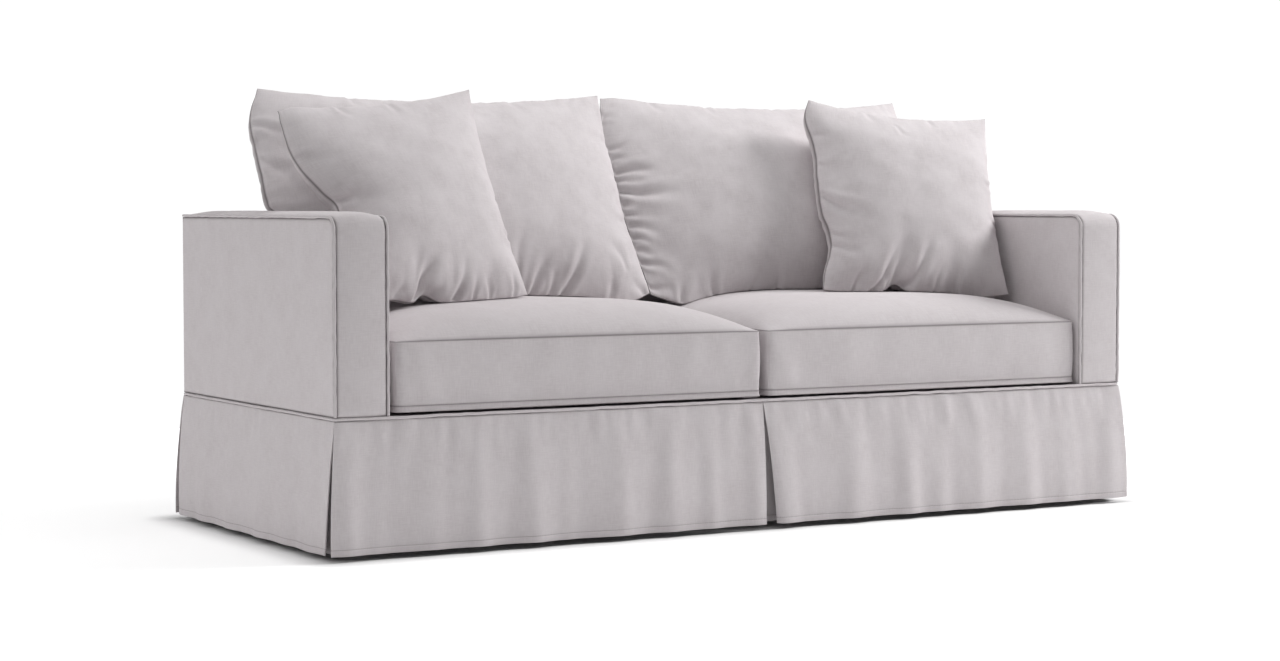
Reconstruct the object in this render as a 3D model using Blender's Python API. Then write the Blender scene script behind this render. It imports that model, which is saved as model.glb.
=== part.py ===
"""A fitted slipcover for a two-seat sofa with square arms, as it hangs on the sofa.

The cover is cut from flat panels that meet at piped seams: arms, boxing strips, back, seat deck
and a skirt with kick pleats. The filled cushions of the same cloth are on it. The sofa's frame is
left out, so the cover is hollow from the hem up into both arms and the back.
X runs along the sofa, Y from the front to the back, and Z up from the hem.
"""

import math

import bmesh
import bpy
from mathutils import Matrix, Vector
from mathutils.bvhtree import BVHTree

# Driving sizes, in metres.
WIDTH = 2.000  # over the two arms, above the skirt
DEPTH = 0.820  # over the arm fronts and the back
HEIGHT = 0.663  # from the hem to the arm tops
SKIRT_HEIGHT = 0.266  # from the hem to the middle of the skirt's cord
ARM_WIDTH = 0.117
BACK_WIDTH = 0.135  # thickness of the hollow back
CORNER_RADIUS = 0.030  # top front corner of an arm, seen from the side
CLOTH = 0.0025
GAP = 0.0003  # between pieces that touch
CORD_RADIUS = 0.003
CORD_INSET = 0.0015  # from a corner's two faces to the middle of its cord
SKIRT_FLARE = 0.020  # how far the hem stands out past the skirt's seam
PLEAT_GAP = 0.017  # the front pleat's opening, at the hem
CORNER_PLEAT_GAP = 0.020  # a corner pleat's opening, at the hem
CORNER_PLEAT_LAP = 0.004  # how far the front and back panels draw in at a corner, at the hem
UNDERLAY_WIDTH = 0.160
UNDERLAY_LEG = 0.085  # along each side of a corner
UNDERLAY_SETBACK = 0.009  # behind the skirt at a corner, at the hem
MIDDLE_SETBACK = 0.018  # behind the front pleat, at the hem
UNDERLAY_DROP = 0.0012  # the underlays' tops lie this far below the skirt's
ROLL_DEPTH = 0.009  # of the rolled edge beside the front pleat, at the hem
ROLL_WIDTH = 0.012

SEAT_CUSHION_WIDTH = 0.866
SEAT_CUSHION_GAP = 0.012  # between the two seat cushions
SEAT_SETBACK = 0.012  # from the arm fronts to the seat cushions
SEAT_LIFT = 0.010  # bottom seam of a seat cushion above the deck
SEAT_SEAM = 0.147  # top seam of a seat cushion above the deck
SEAT_CROWN = 0.072  # the crown above that seam
SEAT_BELLY = 0.004  # how far the boxing swells between its seams
SEAT_DRAW = 0.004  # how far its sides pull in between the corners
# Shallow dips in the crown: place across and back from -1 to 1, reach, depth in metres.
LEFT_DIPS = ((-0.35, -0.25, 0.45, 0.005), (0.45, 0.15, 0.40, 0.004))
RIGHT_DIPS = ((-0.20, -0.30, 0.40, 0.004), (0.50, -0.05, 0.45, 0.006))

# Sizes worked out from these.
FRONT = -DEPTH / 2
BACK = DEPTH / 2
SIDE = WIDTH / 2
INNER_ARM = SIDE - ARM_WIDTH
INSIDE_BACK = BACK - BACK_WIDTH
SEAM = CORD_INSET + CORD_RADIUS + GAP  # from a corner to the edge of a panel beside its cord
SKIRT_SEAM = CORD_RADIUS + GAP  # from the middle of the skirt's cord to the cloth beside it
SKIRT_CORD_INSET = 0.0005
PANEL_FOOT = SKIRT_HEIGHT + SKIRT_SEAM
SKIRT_TOP = SKIRT_HEIGHT - SKIRT_SEAM
DECK_TOP = SKIRT_HEIGHT + 0.001
DECK_FRONT = FRONT + SKIRT_CORD_INSET + SKIRT_SEAM
SEAT_BASE = DECK_TOP + GAP
SEAT_CUSHION_DEPTH = INSIDE_BACK - GAP - (FRONT + SEAT_SETBACK)

# How many faces a run of cloth has.
ARC_STEPS = 4
ARM_STEPS = 6
PANEL_ROWS = 4
SKIRT_ROWS = (0.0, 0.2, 0.45, 0.72, 1.0)  # heights of the points, from the hem up
CORD_SIDES = 6

# Hollows and swells of a panel: turns across, turns up, shift, height in metres.
SLACK = (
    (1.6, 0.7, 0.10, 0.0011),
    (3.1, 1.3, 0.55, 0.0007),
    (4.7, 0.4, 0.30, 0.0004),
)

# Folds of the skirt: place along its panel in metres from the sofa's middle (or from its front,
# on a side), half width, how far it stands out at the hem, and how far it leans over that height.
FRONT_FOLDS = (
    (-0.974, 0.030, 0.0050, 0.012),
    (-0.794, 0.045, 0.0030, -0.010),
    (-0.691, 0.032, 0.0055, 0.008),
    (-0.564, 0.036, 0.0065, 0.004),
    (-0.368, 0.042, 0.0070, -0.006),
    (-0.232, 0.030, 0.0065, 0.010),
    (-0.135, 0.026, 0.0030, 0.006),
    (-0.022, 0.026, 0.0040, 0.000),
    (0.050, 0.034, 0.0060, 0.012),
    (0.232, 0.036, 0.0070, 0.006),
    (0.379, 0.034, 0.0060, 0.000),
    (0.473, 0.026, 0.0028, -0.004),
    (0.576, 0.034, 0.0055, 0.004),
    (0.715, 0.040, 0.0045, 0.010),
    (0.833, 0.034, 0.0028, 0.000),
    (0.966, 0.034, 0.0045, -0.006),
)
SIDE_FOLDS = (
    (0.085, 0.034, 0.0030, 0.004),
    (0.225, 0.030, 0.0025, -0.004),
    (0.345, 0.034, 0.0038, 0.004),
    (0.505, 0.036, 0.0040, -0.006),
    (0.668, 0.034, 0.0036, 0.004),
    (0.775, 0.028, 0.0030, 0.000),
)
BACK_FOLDS = (
    (-0.930, 0.040, 0.0045, 0.006),
    (-0.720, 0.046, 0.0055, -0.006),
    (-0.515, 0.040, 0.0045, 0.008),
    (-0.300, 0.048, 0.0060, 0.000),
    (-0.085, 0.040, 0.0045, -0.008),
    (0.120, 0.046, 0.0055, 0.006),
    (0.345, 0.042, 0.0050, 0.000),
    (0.560, 0.046, 0.0055, -0.006),
    (0.760, 0.040, 0.0045, 0.006),
    (0.940, 0.038, 0.0045, 0.000),
)

# The knife-edged cushions: the corners of the seam in metres, how far each edge pulls in between
# them, the swell of the front and of the back, where an edge stands out (edge, place along it from
# 0 to 1, reach, half width) and the creases (edge, place, length, depth, half width).
LEFT_BACK_CUSHION = {
    "corners": {
        "top_left": (-0.862, 0.290, 0.941),
        "top_right": (-0.007, 0.284, 0.944),
        "bottom_right": (-0.008, 0.046, 0.492),
        "bottom_left": (-0.876, 0.052, 0.490),
    },
    "draw": {"left": -0.026, "right": 0.000, "top": 0.030, "bottom": -0.030},
    "front": 0.098,
    "back": 0.140,
    "shoulders": (
        ("left", 0.86, 0.030, 0.070),
        ("right", 0.36, -0.020, 0.150),
        ("right", 0.76, -0.014, 0.110),
        ("bottom", 0.90, 0.016, 0.060),
    ),
    "creases": (
        ("bottom", 0.20, 0.110, 0.006, 0.026),
        ("bottom", 0.44, 0.120, 0.007, 0.028),
        ("bottom", 0.66, 0.100, 0.006, 0.024),
        ("bottom", 0.86, 0.120, 0.008, 0.026),
        ("left", 0.35, 0.120, 0.006, 0.030),
        ("left", 0.72, 0.100, 0.005, 0.028),
        ("top", 0.30, 0.090, 0.004, 0.034),
        ("top", 0.62, 0.100, 0.005, 0.034),
        ("right", 0.30, 0.090, 0.005, 0.026),
    ),
}
RIGHT_BACK_CUSHION = {
    "corners": {
        "top_left": (0.000, 0.300, 0.946),
        "top_right": (0.857, 0.290, 0.944),
        "bottom_right": (0.876, 0.052, 0.490),
        "bottom_left": (0.002, 0.062, 0.492),
    },
    "draw": {"left": 0.000, "right": 0.006, "top": 0.032, "bottom": -0.030},
    "front": 0.102,
    "back": 0.140,
    "shoulders": (
        ("left", 0.36, 0.020, 0.150),
        ("left", 0.76, 0.014, 0.110),
        ("bottom", 0.06, 0.016, 0.050),
    ),
    "creases": (
        ("left", 0.16, 0.150, 0.008, 0.026),
        ("left", 0.36, 0.170, 0.008, 0.028),
        ("left", 0.58, 0.130, 0.006, 0.028),
        ("left", 0.80, 0.100, 0.005, 0.026),
        ("bottom", 0.16, 0.110, 0.008, 0.024),
        ("bottom", 0.36, 0.100, 0.006, 0.026),
        ("bottom", 0.60, 0.110, 0.006, 0.028),
        ("top", 0.40, 0.110, 0.005, 0.036),
    ),
}
LEFT_PILLOW = {
    "corners": {
        "top_left": (-0.930, 0.060, 0.892),
        "top_right": (-0.450, 0.090, 0.941),
        "bottom_right": (-0.395, -0.080, 0.489),
        "bottom_left": (-0.815, -0.190, 0.482),
    },
    "draw": {"left": 0.018, "right": 0.018, "top": 0.020, "bottom": -0.014},
    "front": 0.075,
    "back": 0.110,
    "shoulders": (("left", 0.36, -0.014, 0.060),),
    "creases": (
        ("bottom", 0.28, 0.100, 0.007, 0.020),
        ("bottom", 0.50, 0.085, 0.006, 0.018),
        ("bottom", 0.74, 0.110, 0.008, 0.022),
        ("left", 0.46, 0.130, 0.010, 0.022),
        ("left", 0.70, 0.080, 0.005, 0.020),
        ("right", 0.22, 0.080, 0.005, 0.020),
    ),
}
RIGHT_PILLOW = {
    "corners": {
        "top_left": (0.463, 0.080, 0.936),
        "top_right": (0.917, -0.010, 0.896),
        "bottom_right": (0.862, -0.175, 0.470),
        "bottom_left": (0.382, -0.085, 0.487),
    },
    "draw": {"left": 0.002, "right": 0.016, "top": 0.024, "bottom": -0.018},
    "front": 0.075,
    "back": 0.110,
    "shoulders": (("left", 0.88, 0.008, 0.060), ("left", 0.25, -0.026, 0.065)),
    "creases": (
        ("bottom", 0.16, 0.090, 0.006, 0.018),
        ("bottom", 0.40, 0.120, 0.009, 0.022),
        ("bottom", 0.66, 0.090, 0.006, 0.020),
        ("left", 0.38, 0.110, 0.007, 0.022),
        ("left", 0.60, 0.090, 0.006, 0.020),
        ("bottom", 0.86, 0.100, 0.007, 0.018),
    ),
}
KNIFE_SHARPNESS = 2.3  # higher is flatter in the middle of a cushion
KNIFE_ROUNDNESS = 0.62  # lower is steeper at its seam
BOX_SHARPNESS = 3.5
BOX_ROUNDNESS = 0.60
REST_CLEARANCE = 0.0014  # kept by the points of a cushion that is pressed on its neighbours
PILLOW_CLEARANCE = 0.0025  # the same between a pillow and the cushion behind it
ARM_LEAN = (0.010, 1.1)  # height above the arms where a cushion passes over them, and its slope
BACK_LEAN = (0.045, 0.8)  # the same above the back
# Heights of a knife-edged cushion's points, from -1 to 1. Two lie just over the tops of the arms.
KNIFE_ROWS = (-1.0, -0.975, -0.90, -0.78, -0.61, -0.41, -0.21, -0.13)
KNIFE_ROWS += (0.06, 0.30, 0.53, 0.73, 0.88, 0.97, 1.0)
THINNEST = 0.0015  # between the two faces of a cushion

CLOTH_COLOUR = (0.616, 0.578, 0.585)
CORD_COLOUR = (0.600, 0.562, 0.570)
CUSHION_COLOUR = (0.624, 0.586, 0.594)


def finish(name, colour, roughness=0.9):
    """A matte cloth finish of this colour."""
    material = bpy.data.materials.new(name)
    material.use_nodes = True
    shader = material.node_tree.nodes["Principled BSDF"]
    shader.inputs["Base Color"].default_value = (*colour, 1.0)
    shader.inputs["Roughness"].default_value = roughness
    shader.inputs["Metallic"].default_value = 0.0
    return material


def spread(start, end, steps):
    """Evenly placed values from start to end, both included."""
    return [start + (end - start) * step / steps for step in range(steps + 1)]


def crowded(steps):
    """Values from -1 to 1 that lie closer together towards both ends."""
    return [math.sin(math.pi / 2 * value) for value in spread(-1.0, 1.0, steps)]


def add_solid(name, points, faces, material, frame):
    """An object with this closed mesh. The points are in the sofa's space, the object in frame's."""
    mesh = bpy.data.meshes.new(name)
    to_frame = frame.inverted()
    mesh.from_pydata([to_frame @ point for point in points], [], faces)
    body = bmesh.new()
    body.from_mesh(mesh)
    if body.calc_volume(signed=True) < 0:
        bmesh.ops.reverse_faces(body, faces=body.faces)
    body.to_mesh(mesh)
    body.free()
    mesh.shade_smooth()
    mesh.set_sharp_from_angle(angle=math.radians(35))
    mesh.materials.append(material)
    piece = bpy.data.objects.new(name, mesh)
    bpy.context.scene.collection.objects.link(piece)
    piece.matrix_world = frame
    return piece


def middle_of(points):
    total = Vector((0.0, 0.0, 0.0))
    for point in points:
        total += point
    return total / len(points)


def add_cloth(name, grid, material, mirror=False):
    """A panel of cloth. grid[i][j] is a point of its outer face: i to the right, j up, from outside."""
    columns = len(grid)
    rows = len(grid[0])
    inner = []
    for i in range(columns):
        for j in range(rows):
            along = grid[min(i + 1, columns - 1)][j] - grid[max(i - 1, 0)][j]
            up = grid[i][min(j + 1, rows - 1)] - grid[i][max(j - 1, 0)]
            inner.append(grid[i][j] - along.cross(up).normalized() * CLOTH)
    points = [point for column in grid for point in column] + inner
    if mirror:
        points = [Vector((-point.x, point.y, point.z)) for point in points]
    under = columns * rows
    faces = []
    for i in range(columns - 1):
        for j in range(rows - 1):
            corner = i * rows + j
            quad = (corner, corner + rows, corner + rows + 1, corner + 1)
            faces.append(quad)
            faces.append(tuple(index + under for index in reversed(quad)))
    edge = [i * rows for i in range(columns)]
    edge += [(columns - 1) * rows + j for j in range(1, rows)]
    edge += [i * rows + rows - 1 for i in range(columns - 2, -1, -1)]
    edge += [j for j in range(rows - 2, 0, -1)]
    for index, start in enumerate(edge):
        end = edge[(index + 1) % len(edge)]
        faces.append((end, start, start + under, end + under))
    return add_solid(name, points, faces, material, Matrix.Translation(middle_of(points)))


def add_cord(name, path, material, closed=False):
    """A round cord that turns its corners with mitres."""
    count = len(path)
    steps = [(path[(index + 1) % count] - path[index]).normalized() for index in range(count)]
    if not closed:
        steps[-1] = steps[-2]
    first = steps[0]
    side = first.cross(Vector((0.13, 0.29, 0.95))).normalized()
    other = first.cross(side)
    turns = [2 * math.pi * index / CORD_SIDES for index in range(CORD_SIDES)]
    ring = [path[0] + (side * math.cos(turn) + other * math.sin(turn)) * CORD_RADIUS for turn in turns]
    points = []
    for index, place in enumerate(path):
        arriving = steps[index - 1] if index or closed else first
        slide = arriving if index else first
        plane = (arriving + steps[index]).normalized()
        ring = [point + slide * ((place - point).dot(plane) / slide.dot(plane)) for point in ring]
        points += ring
    faces = []
    for index in range(count if closed else count - 1):
        start = index * CORD_SIDES
        end = (index + 1) % count * CORD_SIDES
        for turn in range(CORD_SIDES):
            following = (turn + 1) % CORD_SIDES
            faces.append((start + turn, start + following, end + following, end + turn))
    if not closed:
        faces.append(tuple(range(CORD_SIDES - 1, -1, -1)))
        faces.append(tuple(range((count - 1) * CORD_SIDES, count * CORD_SIDES)))
    return add_solid(name, points, faces, material, Matrix.Translation(middle_of(points)))


def slack(across, up, shift):
    """How far a sewn-down panel swells at this part of its width and height, each from 0 to 1."""
    hold = math.sin(math.pi * across) * math.sin(math.pi * up)
    swell = sum(
        height * math.sin(2 * math.pi * (turns_across * across + turns_up * up + offset + shift))
        for turns_across, turns_up, offset, height in SLACK
    )
    return swell * math.sqrt(max(hold, 0.0))


# --- the arms, the back and the deck ---


def arm_edge(inset, foot, end):
    """Side view of an arm's edge as (y, z): up the front, round the corner and back along the top."""
    radius = CORNER_RADIUS - inset
    centre_y = FRONT + CORNER_RADIUS
    centre_z = HEIGHT - CORNER_RADIUS
    edge = [(FRONT + inset, z) for z in spread(foot, centre_z, PANEL_ROWS)[:-1]]
    for turn in spread(0.0, math.pi / 2, ARC_STEPS):
        edge.append((centre_y - radius * math.cos(turn), centre_z + radius * math.sin(turn)))
    edge += [(y, HEIGHT - inset) for y in spread(centre_y, end, ARM_STEPS)[1:]]
    return edge


def add_arm_side(name, x, end, foot, outward, shift, material, mirror):
    """The flat outer or inner panel of an arm, whose top front corner is rounded."""
    tops = arm_edge(SEAM, PANEL_FOOT, end)[PANEL_ROWS:]
    front = tops[0][0]
    grid = []
    for y, top in tops:
        column = []
        for z in spread(foot, top, PANEL_ROWS):
            across = (y - front) / (end - front)
            up = (z - foot) / (HEIGHT - SEAM - foot)
            swell = slack(across, min(up, 1.0), shift)
            column.append(Vector((x + outward * swell, y, z)))
        grid.append(column)
    if outward < 0:
        grid.reverse()
    return add_cloth(name, grid, material, mirror)


def add_arm_boxing(name, material, mirror):
    """The strip that runs up the arm's front and back along its top."""
    edge = arm_edge(0.0, PANEL_FOOT, BACK - SEAM)
    grid = []
    for x in spread(-SIDE + SEAM, -INNER_ARM - SEAM, 3):
        grid.append([Vector((x, y, z)) for y, z in edge])
    return add_cloth(name, grid, material, mirror)


def add_back_panels(material):
    grid = []
    for x in spread(SIDE, -SIDE, 16):
        column = []
        for z in spread(PANEL_FOOT, HEIGHT - SEAM, PANEL_ROWS):
            across = (x + SIDE) / WIDTH
            up = (z - PANEL_FOOT) / (HEIGHT - SEAM - PANEL_FOOT)
            column.append(Vector((x, BACK + slack(across, up, 0.4), z)))
        grid.append(column)
    add_cloth("back_outer_panel", grid, material)

    grid = []
    foot = DECK_TOP + GAP
    for x in spread(-INNER_ARM, INNER_ARM, 14):
        column = []
        for z in spread(foot, HEIGHT - SEAM, PANEL_ROWS):
            column.append(Vector((x, INSIDE_BACK, z)))
        grid.append(column)
    add_cloth("back_inner_panel", grid, material)

    grid = []
    reach = INNER_ARM + SEAM - GAP
    for x in spread(-reach, reach, 14):
        column = [Vector((x, y, HEIGHT)) for y in spread(INSIDE_BACK + SEAM, BACK - SEAM, 2)]
        grid.append(column)
    add_cloth("back_boxing", grid, material)


def add_deck(material):
    grid = []
    reach = INNER_ARM - GAP
    for x in spread(-reach, reach, 8):
        grid.append([Vector((x, y, DECK_TOP)) for y in spread(DECK_FRONT, INSIDE_BACK + CLOTH, 4)])
    add_cloth("seat_deck", grid, material)


# --- the skirt ---


def flare(z):
    """How far the skirt stands out at this height."""
    drop = 1.0 - z / SKIRT_TOP
    return SKIRT_FLARE * (1.0 - (1.0 - drop) ** 1.8)


def fold_out(place, z, folds):
    """How far the skirt's folds stand out here. A fold grows towards the hem and leans a little."""
    drop = 1.0 - z / SKIRT_TOP
    total = 0.0
    for middle, half_width, reach, lean in folds:
        offset = (place - middle - lean * (drop - 1.0)) / half_width
        total += reach * math.exp(-offset * offset)
    deepest = max(reach for _, _, reach, _ in folds)
    return (total - deepest) * drop**1.2


def pleat_edge(z, opening):
    """Half of a pleat's opening at this height, none at the top."""
    drop = 1.0 - z / SKIRT_TOP
    return GAP / 2 + (opening - GAP) / 2 * drop**0.85


def skirt_heights():
    return [SKIRT_TOP * part for part in SKIRT_ROWS]


def add_front_skirt(name, side, material):
    """One front panel, from the middle pleat to its corner. Its edge at the pleat rolls inwards."""
    places = spread(0.0, 1.0, 26)
    if side > 0:
        places = [0.0, ROLL_WIDTH / 2 / SIDE, ROLL_WIDTH / SIDE] + places[1:]
    grid = []
    for place in places:
        column = []
        for z in skirt_heights():
            drop = 1.0 - z / SKIRT_TOP
            pleat = pleat_edge(z, PLEAT_GAP)
            corner = SIDE + flare(z) - CORNER_PLEAT_LAP * drop
            x = (pleat if side > 0 else -corner) + (corner - pleat) * place
            y = FRONT - flare(z) - fold_out(x, z, FRONT_FOLDS)
            if side > 0:
                inward = max(0.0, 1.0 - place * SIDE / ROLL_WIDTH)
                y += ROLL_DEPTH * drop * inward * inward
            column.append(Vector((x, y, z)))
        grid.append(column)
    return add_cloth(name, grid, material)


def add_side_skirt(name, material, mirror):
    columns = 20
    grid = []
    for step in range(columns + 1):
        column = []
        for z in skirt_heights():
            drop = 1.0 - z / SKIRT_TOP
            tuck = CLOTH + GAP
            front = FRONT + tuck - (flare(z) - CORNER_PLEAT_GAP * drop)
            back = BACK - tuck + (flare(z) - CORNER_PLEAT_GAP * drop)
            y = back + (front - back) * step / columns
            x = -SIDE - flare(z) - fold_out(y - FRONT, z, SIDE_FOLDS)
            column.append(Vector((x, y, z)))
        grid.append(column)
    return add_cloth(name, grid, material, mirror)


def add_back_skirt(material):
    columns = 40
    grid = []
    for step in range(columns + 1):
        column = []
        for z in skirt_heights():
            drop = 1.0 - z / SKIRT_TOP
            corner = SIDE + flare(z) - CORNER_PLEAT_LAP * drop
            x = corner - 2 * corner * step / columns
            column.append(Vector((x, BACK + flare(z) + fold_out(x, z, BACK_FOLDS), z)))
        grid.append(column)
    return add_cloth("skirt_back", grid, material)


def add_middle_underlay(material):
    """The loose piece that hangs behind the opening of the front pleat."""
    grid = []
    for x in spread(-UNDERLAY_WIDTH / 2, UNDERLAY_WIDTH / 2, 4):
        column = []
        for z in skirt_heights():
            drop = 1.0 - z / SKIRT_TOP
            y = FRONT + CLOTH + GAP - flare(z) + MIDDLE_SETBACK * drop**0.7
            column.append(Vector((x, y, z - UNDERLAY_DROP * z / SKIRT_TOP)))
        grid.append(column)
    add_cloth("pleat_underlay_middle", grid, material)


def add_corner_underlay(name, material, back, mirror):
    """The bent piece behind a corner pleat, on the left of the sofa."""
    turn = -1.0 if back else 1.0
    corner_y = BACK if back else FRONT
    bend = 0.006
    legs = [(0.0, length) for length in spread(UNDERLAY_LEG, bend, 3)]
    for angle in spread(0.0, math.pi / 2, 2)[1:-1]:
        legs.append((bend - bend * math.sin(angle), bend - bend * math.cos(angle)))
    legs += [(length, 0.0) for length in spread(bend, UNDERLAY_LEG, 3)]
    grid = []
    for along_front, along_side in legs:
        column = []
        for z in skirt_heights():
            drop = 1.0 - z / SKIRT_TOP
            inset = CLOTH + GAP - flare(z) + UNDERLAY_SETBACK * drop**0.7
            x = -SIDE + inset + along_front
            y = corner_y + turn * (inset + along_side)
            column.append(Vector((x, y, z - UNDERLAY_DROP * z / SKIRT_TOP)))
        grid.append(column)
    if back:
        grid.reverse()
    add_cloth(name, grid, material, mirror)


# --- the cords in the seams ---


def add_top_cords(material):
    """The outer cord goes up one arm's front, back along its top, across the back and down again."""
    foot = PANEL_FOOT + GAP
    outer = [Vector((-SIDE + CORD_INSET, y, z)) for y, z in arm_edge(CORD_INSET, foot, BACK - CORD_INSET)]
    middle = [Vector((0.0, BACK - CORD_INSET, HEIGHT - CORD_INSET))]
    other = [Vector((-point.x, point.y, point.z)) for point in reversed(outer)]
    add_cord("piping_outer", outer + middle + other, material)

    end = INSIDE_BACK + CORD_INSET
    inner = [Vector((-INNER_ARM - CORD_INSET, y, z)) for y, z in arm_edge(CORD_INSET, foot, end)]
    middle = [Vector((0.0, end, HEIGHT - CORD_INSET))]
    other = [Vector((-point.x, point.y, point.z)) for point in reversed(inner)]
    add_cord("piping_inner", inner + middle + other, material)


def add_skirt_cord(material):
    """One ring round the sofa, with small round corners."""
    bend = 0.008
    reach_x = SIDE - SKIRT_CORD_INSET
    reach_y = BACK - SKIRT_CORD_INSET
    path = []
    for quarter in range(4):
        start = math.pi / 2 * quarter
        centre_x = (reach_x - bend) * (1 if quarter in (0, 3) else -1)
        centre_y = (reach_y - bend) * (1 if quarter in (0, 1) else -1)
        for turn in spread(start, start + math.pi / 2, 3):
            x = centre_x + bend * math.cos(turn)
            path.append(Vector((x, centre_y + bend * math.sin(turn), SKIRT_HEIGHT)))
    add_cord("piping_skirt", path, material, closed=True)


# --- the cushions ---


def bulge(value, sharpness, roundness):
    """1 in the middle of a cushion and 0 at its seams, where value is -1 and 1."""
    return max(0.0, 1.0 - abs(value) ** sharpness) ** roundness


def border(columns, rows):
    """The grid places round the edge of a cushion, in order."""
    places = [(i, 0) for i in range(columns)]
    places += [(columns, j) for j in range(rows)]
    places += [(i, rows) for i in range(columns, 0, -1)]
    places += [(0, j) for j in range(rows, 0, -1)]
    return places


def cushion_mesh(across, up, face, rings):
    """Points and faces of a filled cushion. face(u, v, side) is its skin, 1 in front and -1 behind;
    rings are the heights, from 1 to -1, at which its border runs from the front's to the back's."""
    points = []
    places = {}

    def place(key, point):
        places[key] = len(points)
        points.append(point)

    edge = border(len(across) - 1, len(up) - 1)
    for side in (1, -1):
        for i, u in enumerate(across):
            for j, v in enumerate(up):
                if (i, j) not in edge:
                    place((side, i, j), face(u, v, side))
    for level in rings:
        for i, j in edge:
            place((level, i, j, "edge"), face(across[i], up[j], level))

    def corner(side, i, j):
        level = rings[0] if side > 0 else rings[-1]
        return places[(level, i, j, "edge")] if (i, j) in edge else places[(side, i, j)]

    faces = []
    for i in range(len(across) - 1):
        for j in range(len(up) - 1):
            quad = ((i, j), (i + 1, j), (i + 1, j + 1), (i, j + 1))
            faces.append(tuple(corner(1, *spot) for spot in quad))
            faces.append(tuple(corner(-1, *spot) for spot in reversed(quad)))
    for level, following in zip(rings, rings[1:]):
        for index, spot in enumerate(edge):
            after = edge[(index + 1) % len(edge)]
            quad = ((level, *spot), (level, *after), (following, *after), (following, *spot))
            faces.append(tuple(places[(*key, "edge")] for key in reversed(quad)))
    return points, faces


def add_seat_cushion(name, side, dips, material):
    """A box cushion on the deck: a crowned top, a band of boxing, and a base with lifted edges."""
    middle_x = side * (SEAT_CUSHION_GAP + SEAT_CUSHION_WIDTH) / 2
    middle_y = FRONT + SEAT_SETBACK + SEAT_CUSHION_DEPTH / 2
    half_width = SEAT_CUSHION_WIDTH / 2
    half_depth = SEAT_CUSHION_DEPTH / 2

    def skin(u, v, level):
        full = bulge(u, BOX_SHARPNESS, BOX_ROUNDNESS) * bulge(v, BOX_SHARPNESS, BOX_ROUNDNESS)
        if level == 1:
            z = SEAT_SEAM + SEAT_CROWN * full
            for dip_u, dip_v, reach, depth in dips:
                away = ((u - dip_u) ** 2 + (v - dip_v) ** 2) / reach**2
                z -= depth * full * math.exp(-away)
        elif level == -1:
            z = SEAT_LIFT * max(0.0, 1.0 - 1.25 * full)
        else:
            z = SEAT_LIFT + (SEAT_SEAM - SEAT_LIFT) * (level + 1) / 2
        swell = SEAT_BELLY * (1.0 - level * level)
        x = u * (half_width - SEAT_DRAW * (1.0 - v * v)) + math.copysign(swell, u) * (abs(u) == 1.0)
        y = v * (half_depth - SEAT_DRAW * (1.0 - u * u)) + math.copysign(swell, v) * (abs(v) == 1.0)
        y = min(y, half_depth)
        return Vector((middle_x + x, middle_y + y, SEAT_BASE + z))

    points, faces = cushion_mesh(crowded(14), crowded(12), skin, (1, 0.4, -0.4, -1))
    frame = Matrix.Translation((middle_x, middle_y, SEAT_BASE))
    return add_solid(name, points, faces, material, frame)


def hold_inside(point):
    """Keeps a point off the arms and the back. Above them a cushion may lean out over them."""
    over_arm = max(0.0, point.z - HEIGHT - ARM_LEAN[0]) * ARM_LEAN[1]
    over_back = max(0.0, point.z - HEIGHT - BACK_LEAN[0]) * BACK_LEAN[1]
    reach = INNER_ARM - CORD_INSET - REST_CLEARANCE + over_arm
    point.x = max(-reach, min(reach, point.x))
    point.y = min(point.y, INSIDE_BACK - CORD_INSET - REST_CLEARANCE + over_back)


def press(points, piece, direction, clearance):
    """Lifts each point that lies in this piece, or too near it, out of it along this direction."""
    tree = BVHTree.FromObject(piece, bpy.context.evaluated_depsgraph_get())
    place = piece.matrix_world
    to_piece = place.inverted()
    down = to_piece.to_3x3() @ -direction
    for index, point in enumerate(points):
        found, _, _, _ = tree.ray_cast(to_piece @ (point + direction), down)
        if found is None:
            continue
        surface = place @ found
        if (point - surface).dot(direction) < clearance:
            points[index] = surface + direction * clearance


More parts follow.
